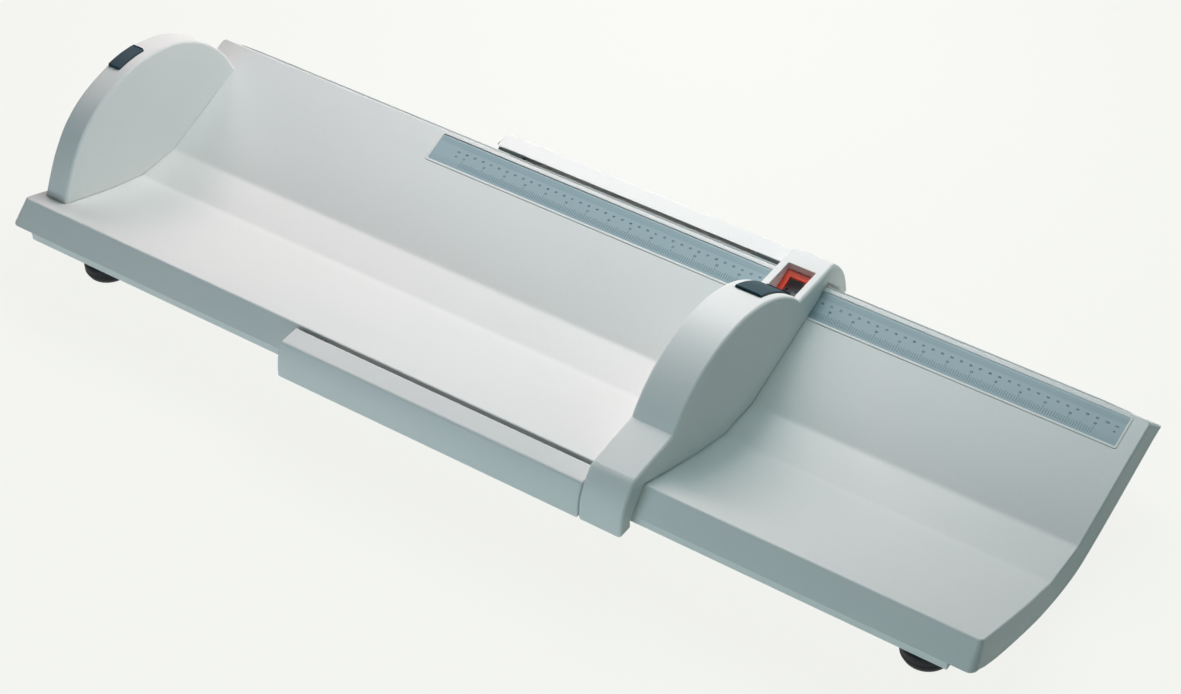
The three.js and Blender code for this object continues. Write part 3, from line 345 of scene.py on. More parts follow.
@dataclass(frozen=True)
class Rubber:
    """Soft rubber with a dusty bloom, a painted highlight along its edges, and a fine grain."""

    name: str
    colour: Colour
    # The paler colour is used for the dust's bloom and also for a painted highlight along every edge
    bloom: Colour
    roughness: float = 0.5
    grain: float = 0.03
    level: float = 0.5

    def material(self) -> bpy.types.Material:
        """The material's nodes."""
        graph = Graph(self.name)
        grain = graph.noise(1300.0, 3.0)
        dust = graph.noise(90.0, 4.0)
        edge = graph.edge(0.8)
        # Paler where the dust noise is high (bloom), and along every edge as a painted highlight
        tint = graph.mixed((dust.eased(0.45, 0.8) * 0.5 + edge * 0.45).held(), self.colour, self.bloom)
        rough = self.roughness + (grain - 0.5) * 0.18 + (dust - 0.5) * 0.16
        graph.dress(tint, rough, grain, self.grain, Specular_IOR_Level=self.level)
        return graph.material


# The carrier is near black partly as its own colour and partly as painted shade on the pads' side walls
CARRIER = Rubber("pad_carrier", linear(16, 28, 30), linear(40, 54, 56), 0.6)
GRIP = Rubber("pad_cap", linear(8, 48, 60), linear(22, 66, 78), 0.6, level=0.25)


@dataclass(frozen=True)
class GlossPlastic:
    """A bright plastic with a satin gloss, faint swirls, and a painted highlight along its edges."""

    name: str
    colour: Colour
    pale: Colour
    roughness: float = 0.32

    def material(self) -> bpy.types.Material:
        """The material's nodes."""
        graph = Graph(self.name)
        swirl = graph.noise(60.0, 4.0, (1.0, 0.4, 1.0))
        grain = graph.noise(1600.0, 2.0)
        edge = graph.edge(0.5)
        # The pale colour marks the swirls and, along every edge, a painted highlight
        tint = graph.mixed((swirl.eased(0.4, 0.8) * 0.25 + edge * 0.4).held(), self.colour, self.pale)
        rough = self.roughness + (swirl - 0.5) * 0.14 + (grain - 0.5) * 0.08
        graph.dress(tint, rough, grain, 0.008, Specular_IOR_Level=0.5)
        return graph.material


@dataclass(frozen=True)
class Steel:
    """Zinc-plated steel with fine turning marks and a cloudy plating."""

    name: str = "plated_steel"
    colour: Colour = linear(196, 198, 199)
    dull: Colour = linear(150, 154, 158)

    def material(self) -> bpy.types.Material:
        """The material's nodes."""
        graph = Graph(self.name)
        turning = graph.noise(2600.0, 2.0, (1.0, 1.0, 0.2))
        cloud = graph.noise(320.0, 3.0)
        tint = graph.mixed(cloud.eased(0.35, 0.75) * 0.7, self.colour, self.dull)
        rough = 0.28 + (cloud - 0.5) * 0.2 + (turning - 0.5) * 0.12
        graph.dress(tint, rough, turning, 0.006, Metallic=1.0)
        return graph.material


@dataclass(frozen=True)
class Ink:
    """Screen-printed ink, a little uneven at its edges."""

    name: str
    colour: Colour
    thin: Colour

    def material(self) -> bpy.types.Material:
        """The material's nodes."""
        graph = Graph(self.name)
        patch = graph.noise(700.0, 3.0)
        tint = graph.mixed(patch.eased(0.45, 0.75), self.colour, self.thin)
        graph.dress(tint, 0.42 + (patch - 0.5) * 0.2, patch, 0.002)
        return graph.material


# ---------------------------------------------------------------- modelling


class Pick(Enum):
    """What a selection is made of."""

    CORNERS = "VERT"
    EDGES = "EDGE"
    FACES = "FACE"


def ready() -> None:
    """Leaves edit mode and deselects everything."""
    if bpy.context.object is not None and bpy.context.object.mode != "OBJECT":
        bpy.ops.object.mode_set(mode="OBJECT")
    bpy.ops.object.select_all(action="DESELECT")


class Workpiece:
    """A mesh in the making, shaped with modelling operators. All its lengths are in millimetres."""

    def __init__(self, name: str) -> None:
        """Takes the active object, puts its origin at the frame's origin and enters edit mode.

        Args:
            name: The piece's name.
        """
        self.obj = bpy.context.active_object
        self.obj.name = name
        self.obj.data.name = name
        bpy.ops.object.transform_apply(location=True, rotation=True, scale=True)
        bpy.ops.object.mode_set(mode="EDIT")

    @classmethod
    def disc(cls, name: str, corners: int, radius: float, centre: Sequence[float]) -> "Workpiece":
        """Starts from a flat disc.

        Args:
            name: The piece's name.
            corners: How many corners it has.
            radius: Its radius.
            centre: Its middle.

        Returns:
            The new workpiece.
        """
        ready()
        place = Vector(centre) * MM
        bpy.ops.mesh.primitive_circle_add(vertices=corners, radius=radius * MM, fill_type="NGON", location=place)
        return cls(name)

    @classmethod
    def drawn(cls, name: str, outline: Sequence[Point], start: float, end: float) -> "Workpiece":
        """A body with one outline across the bed, drawn out along X.

        Args:
            name: The piece's name.
            outline: The outline's (y, z) points in order.
            start: X of its left end.
            end: X of its right end.

        Returns:
            The new workpiece.
        """
        piece = cls.disc(name, len(outline), 10.0, (start, 0.0, 0.0))
        piece.settle([(start, y, z) for y, z in outline])
        piece.select(Pick.FACES, lambda place, normal: True)
        piece.extrude(x=end - start)
        return piece.outwards()

    @classmethod
    def sheet(cls, name: str, columns: Sequence[float], rows: Sequence[float], z: float = 0.0) -> "Workpiece":
        """A flat sheet of faces between given columns and rows.

        Args:
            name: The piece's name.
            columns: The X places of its columns.
            rows: The Y places of its rows.
            z: Its height.

        Returns:
            The new workpiece.
        """
        ready()
        bpy.ops.mesh.primitive_grid_add(x_subdivisions=len(columns) - 1, y_subdivisions=len(rows) - 1, size=0.1)
        piece = cls(name)
        piece.settle([(x, y, z) for y in rows for x in columns])
        return piece

    @classmethod
    def turned(cls, name: str, profile: Sequence[Point], centre: Sequence[float], corners: int = 32) -> "Workpiece":
        """A body turned about Z from a disc, by extruding and widening.

        Args:
            name: The piece's name.
            profile: Its (radius, z) points from one end to the other.
            centre: The place of the profile's zero.
            corners: How many corners it has round.

        Returns:
            The new workpiece.
        """
        radius, height = profile[0]
        x, y, z = centre
        piece = cls.disc(name, corners, radius, (x, y, z + height))
        piece.select(Pick.FACES, lambda p, n: True)
        for wider, higher in profile[1:]:
            piece.extrude(z=higher - height)
            piece.resize(wider / radius, wider / radius, 1.0, (x, y, z + higher))
            radius, height = wider, higher
        return piece.outwards()

    @classmethod
    def refined(cls, name: str, node: str, bevel: float, segments: int = 2) -> "Workpiece":
        """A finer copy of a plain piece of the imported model, with its edges rounded.

        Args:
            name: The new piece's name.
            node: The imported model's piece.
            bevel: The rounding's width.
            segments: The rounding's faces.

        Returns:
            The new workpiece.
        """
        ready()
        source = frame["nodes"][node]
        copy = bpy.data.objects.new(name, source.data.copy())
        bpy.context.collection.objects.link(copy)
        copy.select_set(True)
        bpy.context.view_layer.objects.active = copy
        piece = cls(name)
        bpy.ops.mesh.select_all(action="SELECT")
        bpy.ops.mesh.remove_doubles(threshold=0.00001)
        bpy.ops.mesh.dissolve_limited(angle_limit=math.radians(1.0))
        return piece.modify(
            "BEVEL", width=bevel * MM, segments=segments, limit_method="ANGLE", angle_limit=math.radians(40)
        )

    def mesh(self) -> bmesh.types.BMesh:
        """The mesh in edit mode."""
        made = bmesh.from_edit_mesh(self.obj.data)
        made.verts.ensure_lookup_table()
        return made

    def settle(self, places: Sequence[Sequence[float]]) -> None:
        """Moves each corner, in its order, to its place."""
        bpy.ops.mesh.select_mode(type="VERT")
        for index, place in enumerate(places):
            bpy.ops.mesh.select_all(action="DESELECT")
            mesh = self.mesh()
            corner = mesh.verts[index]
            corner.select_set(True)
            self.move(*(Vector(place) - corner.co / MM))

    def fit(self, mapping: Callable[[Vector], Sequence[float]]) -> None:
        """Moves each selected corner to the place that a function gives for where it is."""
        indexes = [corner.index for corner in self.mesh().verts if corner.select]
        bpy.ops.mesh.select_mode(type="VERT")
        for index in indexes:
            bpy.ops.mesh.select_all(action="DESELECT")
            corner = self.mesh().verts[index]
            corner.select_set(True)
            place = corner.co / MM
            self.move(*(Vector(mapping(place)) - place))
        bpy.ops.mesh.select_all(action="DESELECT")
        mesh = self.mesh()
        for index in indexes:
            mesh.verts[index].select_set(True)
        mesh.select_flush(True)

    def select(self, kind: Pick, test: Callable[..., bool]) -> None:
        """Selects what passes a test.

        Args:
            kind: Corners, edges or faces.
            test: Is given a corner's place, an edge's two ends, or a face's middle and normal.
        """
        bpy.ops.mesh.select_mode(type=kind.value)
        bpy.ops.mesh.select_all(action="DESELECT")
        mesh = self.mesh()
        if kind is Pick.CORNERS:
            chosen = [corner for corner in mesh.verts if test(corner.co / MM)]
        elif kind is Pick.EDGES:
            chosen = [edge for edge in mesh.edges if test(*(corner.co / MM for corner in edge.verts))]
        else:
            chosen = [face for face in mesh.faces if test(face.calc_center_median() / MM, face.normal)]
        for item in chosen:
            item.select_set(True)
        mesh.select_flush_mode()
        bmesh.update_edit_mesh(self.obj.data)

    def move(self, x: float = 0.0, y: float = 0.0, z: float = 0.0) -> None:
        """Moves what is selected."""
        bpy.ops.transform.translate(value=(x * MM, y * MM, z * MM))

    def extrude(self, x: float = 0.0, y: float = 0.0, z: float = 0.0) -> None:
        """Extrudes what is selected."""
        bpy.ops.mesh.extrude_region_move(TRANSFORM_OT_translate={"value": (x * MM, y * MM, z * MM)})

    def resize(self, x: float, y: float, z: float, centre: Sequence[float]) -> None:
        """Scales what is selected about a point."""
        bpy.ops.transform.resize(value=(x, y, z), center_override=Vector(centre) * MM)

    def turn(self, angle: float, axis: str, centre: Sequence[float]) -> None:
        """Turns what is selected by the right hand about an axis through a point."""
        bpy.ops.transform.rotate(value=-angle, orient_axis=axis, center_override=Vector(centre) * MM)

    def bevel(self, width: float, segments: int, corners: bool = False) -> None:
        """Rounds the selected edges, or corners."""
        bpy.ops.mesh.bevel(offset=width * MM, segments=segments, affect="VERTICES" if corners else "EDGES")

    def outwards(self) -> "Workpiece":
        """Turns the faces outwards."""
        bpy.ops.mesh.select_all(action="SELECT")
        bpy.ops.mesh.normals_make_consistent(inside=False)
        return self

    def round_ends(
        self, start: float, end: float, width: float, segments: int = 4, sharp: Sequence[Point] = ()
    ) -> "Workpiece":
        """Rounds the edges of a drawn body's end faces.

        Args:
            start: X of its left end.
            end: X of its right end.
            width: The rounding.
            segments: The rounding's faces.
            sharp: The (y, z) points between which edges stay sharp.

        Returns:
            The workpiece.
        """

        def is_sharp(place: Vector) -> bool:
            """Whether a corner is one of the sharp points."""
            return any(abs(place.y - y) < 0.02 and abs(place.z - z) < 0.02 for y, z in sharp)

        def on_end(first: Vector, second: Vector) -> bool:
            """Whether an edge lies in an end plane and is to be rounded."""
            flush = any(abs(first.x - x) < 0.01 and abs(second.x - x) < 0.01 for x in (start, end))
            return flush and not (is_sharp(first) and is_sharp(second))

        self.select(Pick.EDGES, on_end)
        self.bevel(width, segments)
        return self

    def round_block(
        self, sides: Point, ends: Point, height: Callable[[float], float], corner: float, edge: float
    ) -> None:
        """Rounds the upright corners of a drawn block, and then the border of its upper face.

        Args:
            sides: X of its left and right faces.
            ends: Y of its front and rear faces.
            height: Gives the height of its upper face at a place across the bed.
            corner: Radius of the upright corners.
            edge: Radius of the border.
        """

        def at(value: float, places: Point) -> bool:
            """Whether a value is at one of two places."""
            return any(abs(value - place) < 0.02 for place in places)

        def upright(a: Vector, b: Vector) -> bool:
            """Whether an edge is one of the four upright corners."""
            return all(at(p.x, sides) and at(p.y, ends) for p in (a, b))

        def on_top(place: Vector, normal: Vector) -> bool:
            """Whether a face is part of the upper face."""
            return normal.z > 0.3 and abs(place.z - height(place.y)) < 0.4

        self.select(Pick.EDGES, upright)
        self.bevel(corner, 5)
        self.select(Pick.FACES, on_top)
        bpy.ops.mesh.region_to_loop()
        self.bevel(edge, 4)

    def modify(self, kind: str, **settings: object) -> "Workpiece":
        """Adds a modifier with its settings and applies it.

        Args:
            kind: The modifier's type.
            settings: The modifier's attributes.

        Returns:
            The workpiece.
        """
        ready()
        self.obj.select_set(True)
        bpy.context.view_layer.objects.active = self.obj
        bpy.ops.object.modifier_add(type=kind)
        modifier = self.obj.modifiers[-1]
        for key, value in settings.items():
            setattr(modifier, key, value)
        bpy.ops.object.modifier_apply(modifier=modifier.name)
        bpy.ops.object.mode_set(mode="EDIT")
        return self

    def combine(self, operation: str, *others: "Workpiece") -> "Workpiece":
        """Joins or cuts this piece with others, which are used up.

        Args:
            operation: UNION, DIFFERENCE or INTERSECT.
            others: The other workpieces.

        Returns:
            The workpiece.
        """
        for other in others:
            self.modify("BOOLEAN", operation=operation, object=other.obj, solver="MANIFOLD")
            bpy.data.objects.remove(other.obj, do_unlink=True)
        return self

    def copied(self, name: str, x: float = 0.0, y: float = 0.0, z: float = 0.0) -> "Workpiece":
        """A copy with its own mesh, moved from here."""
        ready()
        self.obj.select_set(True)
        bpy.context.view_layer.objects.active = self.obj
        bpy.ops.object.duplicate(linked=False)
        piece = Workpiece(name)
        bpy.ops.mesh.select_all(action="SELECT")
        piece.move(x, y, z)
        return piece

    def joined(self, *others: "Workpiece") -> "Workpiece":
        """Takes other workpieces into this object as they are."""
        ready()
        for piece in (self, *others):
            piece.obj.select_set(True)
        bpy.context.view_layer.objects.active = self.obj
        bpy.ops.object.join()
        bpy.ops.object.mode_set(mode="EDIT")
        return self


class Workshop:
    """Finishes workpieces: smooth shading, a material, a body and what they stand for."""

    def __init__(self) -> None:
        """Makes each finish's material once."""
        self.made: dict[object, bpy.types.Material] = {}
        self.count = 0

    def material(self, finish: object) -> bpy.types.Material:
        """The material of a finish."""
        if finish not in self.made:
            self.made[finish] = finish.material()
        return self.made[finish]

    def finish(
        self, piece: Workpiece, finish: object, body: Body, slot: Slot, *nodes: str, angle: float = 38.0
    ) -> bpy.types.Object:
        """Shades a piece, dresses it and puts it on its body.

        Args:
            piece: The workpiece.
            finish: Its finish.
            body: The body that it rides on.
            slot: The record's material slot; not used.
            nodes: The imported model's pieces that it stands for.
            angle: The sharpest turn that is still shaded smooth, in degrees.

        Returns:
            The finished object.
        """
        ready()
        obj = piece.obj
        obj.select_set(True)
        bpy.context.view_layer.objects.active = obj
        bpy.ops.object.shade_smooth_by_angle(angle=math.radians(angle))
        piece.modify("WEIGHTED_NORMAL", keep_sharp=True, weight=80)
        ready()
        obj.data.materials.clear()
        obj.data.materials.append(self.material(finish))
        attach(obj, body.value)
        if nodes:
            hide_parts(*nodes)
        self.count += 1
        log.info("%s: %d faces, on %s", obj.name, len(obj.data.polygons), body.value)
        return obj


# ---------------------------------------------------------------- lines of the drawing


def fillet(points: Sequence[Point], radii: dict[int, float], steps: int = 6) -> list[Point]:
    """Rounds some corners of a line.

    Args:
        points: The line's points.
        radii: The distance that each rounding takes from its corner, by the corner's index.
        steps: Pieces in each rounding.

    Returns:
        The line with the roundings in it.
    """
    line: list[Point] = []
    for index, point in enumerate(points):
        if index not in radii:
            line.append(point)
            continue
        corner = Vector(point)
        before = (Vector(points[index - 1]) - corner).normalized() * radii[index]
        after = (Vector(points[(index + 1) % len(points)]) - corner).normalized() * radii[index]
        for step in range(steps + 1):
            share = step / steps
            line.append(tuple(corner + before * (1 - share) ** 2 + after * share**2))
    return line


def spline(points: Sequence[Point], count: int) -> list[Point]:
    """A smooth line through points, in an equal number of steps between each pair."""
    line = []
    for step in range(count + 1):
        place = (len(points) - 1) * step / count
        index = min(int(place), len(points) - 2)
        t = place - index
        near = [points[min(max(index + offset, 0), len(points) - 1)] for offset in (-1, 0, 1, 2)]
        weights = (
            (-t + 2 * t * t - t**3) / 2,
            (2 - 5 * t * t + 3 * t**3) / 2,
            (t + 4 * t * t - 3 * t**3) / 2,
            (t**3 - t * t) / 2,
        )
        line.append(tuple(sum(w * p[axis] for w, p in zip(weights, near)) for axis in (0, 1)))
    return line


def meet(line: Sequence[Point], place: float, axis: int = 0) -> tuple[int, float]:
    """Where a line that rises along one axis meets a place on it.

    Args:
        line: The line's points.
        place: The place.
        axis: The axis, 0 or 1.

    Returns:
        The index of the point after it, and the place on the other axis.
    """
    after = next(index for index in range(1, len(line)) if line[index][axis] >= place)
    first, second, other = line[after - 1], line[after], 1 - axis
    rise = (second[other] - first[other]) * (place - first[axis]) / (second[axis] - first[axis])
    return after, first[other] + rise


def strip(height: Callable[[float], float], start: float, end: float, low: float, high: float) -> list[Point]:
    """The outline of a strip that follows a curve.

    Args:
        height: Gives the curve's height at a place across the bed.
        start: Y of the strip's front end.
        end: Y of its rear end.
        low: Its underside, over the curve.
        high: Its upper side, over the curve.

    Returns:
        The outline's points.
    """
    places = [start + (end - start) * step / 12 for step in range(13)]
    return [(y, height(y) + low) for y in places] + [(y, height(y) + high) for y in reversed(places)]


def turned_side(points: Sequence[Point], side: Side, half_width: float) -> list[Point]:
    """(outward, z) points as (y, z) points on one long side."""
    return [(side.value * (half_width + out), z) for out, z in points]


@dataclass(frozen=True)
class Trough:
    """The bed's own lines, shared by all that lies on it. Heights are over the ground."""

    length: float = 1089.0
    width: float = 310.6
    rim: float = 88.0
    depth: float = 46.0
    flat_front: float = -27.5
    flat_rear: float = 22.5
    sag: float = 2.4
    sag_offset: float = 75.0
    drop: float = 21.8
    flare: float = 20.6
    end_flare: float = 4.0
    crease: float = 3.0
    corner: float = 4.5
    hem_corner: float = 8.0
    shoulder: float = 16.0
    wall: float = 3.0
    gap: float = 0.3
    kinks: tuple[float, ...] = (-130.0, -110.0, -90.0, -75.0, -60.0, -45.0, -35.0, -27.5, 22.5)

    @property
    def half(self) -> float:
        """Half the width."""
        return self.width / 2

    @property
    def slope(self) -> float:
        """The angle of the rear side."""
        return math.atan(self.depth / (self.half - self.flat_rear))

    def height(self, y: float, crease: float = 0.0) -> float:
        """Height of the bed's surface at a place across it.

        Args:
            y: The place.
            crease: Half the width over which the two creases are rounded.

        Returns:
            The height.
        """
        rise = 0.0
        for edge, away in ((self.flat_front, self.flat_front - y), (self.flat_rear, y - self.flat_rear)):
            if abs(away) < crease:
                away = (away + crease) ** 2 / (4 * crease)
            rise += max(0.0, away) * self.depth / (self.half - abs(edge))
        sag = 0.0
        if -self.sag_offset < y < self.flat_front:
            sag = 0.5 - 0.5 * math.cos(math.pi * (self.flat_front - y) / (self.sag_offset + self.flat_front))
        elif y <= -self.sag_offset:
            sag = math.cos(math.pi / 2 * (-y - self.sag_offset) / (self.half - self.sag_offset))
        return self.rim + rise - self.depth - self.sag * sag

    def line(self, start: float, end: float, lift: float = 0.0) -> list[Point]:
        """The bed's line between two places, lifted by a height."""
        kinks = [y for y in self.kinks if start < y < end]
        return [(y, self.height(y) + lift) for y in (start, *kinks, end)]

    def beside(self, down: float, gap: float) -> Point:
        """A point beside the long skirt: a distance down along it and a gap out from it."""
        slant = math.hypot(self.flare, self.drop)
        out, up = self.drop / slant, self.flare / slant
        return down * up + gap * out, self.rim + gap * up - down * out


TROUGH = Trough()
HEAD_FACE = 35.2 - TROUGH.length / 2


# ---------------------------------------------------------------- the bed


@dataclass
class Bed:
    """The standing part: the moulded trough, its lower cover, the rear rail and the feet."""

    shop: Workshop
    trough: Trough = TROUGH
    rim_round: float = 1.5
    rows: tuple[float, ...] = (
        -155.3, -139.3, -125.0, -110.0, -98.0, -86.0, -75.0, -65.0, -56.0, -48.0, -41.0, -35.0, -30.5, -29.0, -27.5,
        -26.0, -24.5, -15.0, -5.0, 5.0, 13.0, 19.5, 21.0, 22.5, 24.0, 25.5, 32.0, 42.0, 55.0, 70.0, 90.0, 115.0,
        139.3, 155.3,
    )
    end_hem: tuple[Point, ...] = (
        (-167.9, 66.2), (-155.3, 58.6), (-132.0, 48.3), (-115.0, 42.3), (-98.0, 36.7), (-82.0, 31.9), (-67.0, 27.6),
        (-52.0, 24.0), (-39.0, 21.8), (-26.0, 20.1), (-13.0, 19.1), (-2.0, 18.8), (9.0, 19.2), (19.0, 20.4),
        (28.0, 22.5), (46.0, 27.8), (71.0, 36.4), (104.0, 48.4), (137.0, 61.0), (155.3, 67.8), (167.9, 71.3),
    )
    spread_start: float = 90.0
    boss_places: tuple[float, ...] = (-420.0, -140.0, 140.0, 420.0)
    boss: tuple[Point, ...] = ((6.0, -17.6), (6.0, 2.0))
    foot_end_inset: float = 67.5
    foot_side_inset: float = 32.3

    def hem(self, place: Vector) -> tuple[float, float, float]:
        """Where the skirt's lower edge lies under a place on the rim.

        Args:
            place: A place on the rim.

        Returns:
            The place on the hem.
        """
        form = self.trough
        side, across = math.copysign(1.0, place.x), math.copysign(1.0, place.y)
        past_x = abs(place.x) - form.length / 2 + form.corner
        past_y = abs(place.y) - form.half + form.corner
        inner_x = form.length / 2 + form.end_flare - form.hem_corner
        inner_y = form.half + form.flare - form.hem_corner
        turn = 0.0
        if past_y > -0.01:
            turn = math.atan2(max(past_y, 0.0), max(past_x, 0.0))
            y = inner_y + form.hem_corner * math.sin(turn)
        else:
            span = form.half - form.shoulder - self.spread_start
            y = abs(place.y) + max(0.0, abs(place.y) - self.spread_start) * form.shoulder / span
        x = inner_x + form.hem_corner * math.cos(turn)
        fade = 1 - turn / (math.pi / 2)
        curve = spline(self.end_hem, 4 * len(self.end_hem) - 4)
        _, z = meet(curve, min(max(across * y, curve[0][0]), curve[-1][0]))
        straight = form.rim - form.drop
        return side * x, across * y, straight + (z - straight) * fade

    def moulding(self) -> None:
        """The trough: a sheet laid to the bed's lines, skirted, given its wall and rounded."""
        form = self.trough
        ends = [-form.length / 2, form.length / 2]
        piece = Workpiece.sheet("bed_moulding", ends, self.rows)
        piece.select(Pick.CORNERS, lambda place: abs(place.y) > form.half - 0.1)
        piece.bevel(form.corner, 6, corners=True)
        piece.select(Pick.CORNERS, lambda place: True)
        piece.fit(lambda place: (place.x, place.y, form.height(place.y, form.crease)))
        bpy.ops.mesh.select_mode(type="EDGE")
        bpy.ops.mesh.select_all(action="DESELECT")
        bpy.ops.mesh.select_non_manifold()
        piece.extrude()
        piece.fit(self.hem)
        piece.outwards()
        if sum(face.normal.z * face.calc_area() for face in piece.mesh().faces) < 0:
            bpy.ops.mesh.flip_normals()
        piece.modify("SOLIDIFY", thickness=form.wall * MM, offset=-1.0, use_even_offset=True)
        piece.select(Pick.FACES, lambda place, normal: normal.z > 0.9)
        bpy.ops.mesh.region_to_loop()
        piece.bevel(self.rim_round, 5)
        scale = Scale(self.shop)
        piece.combine("DIFFERENCE", scale.pocket())
        under = form.rim - form.depth - form.wall
        piece.joined(*[Workpiece.turned("boss", self.boss, (x, 0.0, under), 20) for x in self.boss_places])
        self.shop.finish(piece, MouldedPlastic(), Body.BED, Slot.SHELL, "tray_shell", angle=40.0)

    def trim(self) -> None:
        """The lower cover, whose lip shows under the long skirts, and the guide rail behind the rear rim."""
        for name, node, edge, faces in (("lower_cover", "base_pan", 0.9, 3), ("guide_rail", "rear_guide_rail", 0.3, 2)):
            piece = Workpiece.refined(name, node, edge, faces)
            self.shop.finish(piece, MouldedPlastic(), Body.BED, Slot.SHELL, node)

    def feet(self) -> None:
        """Four rubber feet, each with a screw in its recess."""
        rubber = Rubber("foot_rubber", linear(9, 12, 17), linear(30, 35, 43), 0.6, 0.04, 0.3)
        profile = [
            (2.75, 9.0), (7.0, 9.0), (7.0, 1.0), (7.8, 0.0), (21.4, 0.0), (22.6, 0.6), (24.4, 4.2), (24.9, 5.4),
            (24.9, 8.4), (24.3, 9.0), (24.3, 9.8), (24.9, 10.4), (24.9, 14.2), (24.2, 15.6), (22.0, 17.7),
            (2.75, 17.7),
        ]
        x, y = self.trough.length / 2 - self.foot_end_inset, self.trough.half - self.foot_side_inset
        for end, along in (("left", -x), ("right", x)):
            for side in Side:
                place = f"{side.name.lower()}_{end}"
                piece = Workpiece.turned(f"rubber_foot_{place}", profile, (along, side.value * y, 0.0), 64)
                self.shop.finish(piece, rubber, Body.BED, Slot.RUBBER, f"foot_{place}", angle=50.0)

    def build(self) -> None:
        """Makes the bed's pieces."""
        self.moulding()
        self.trim()
        self.feet()


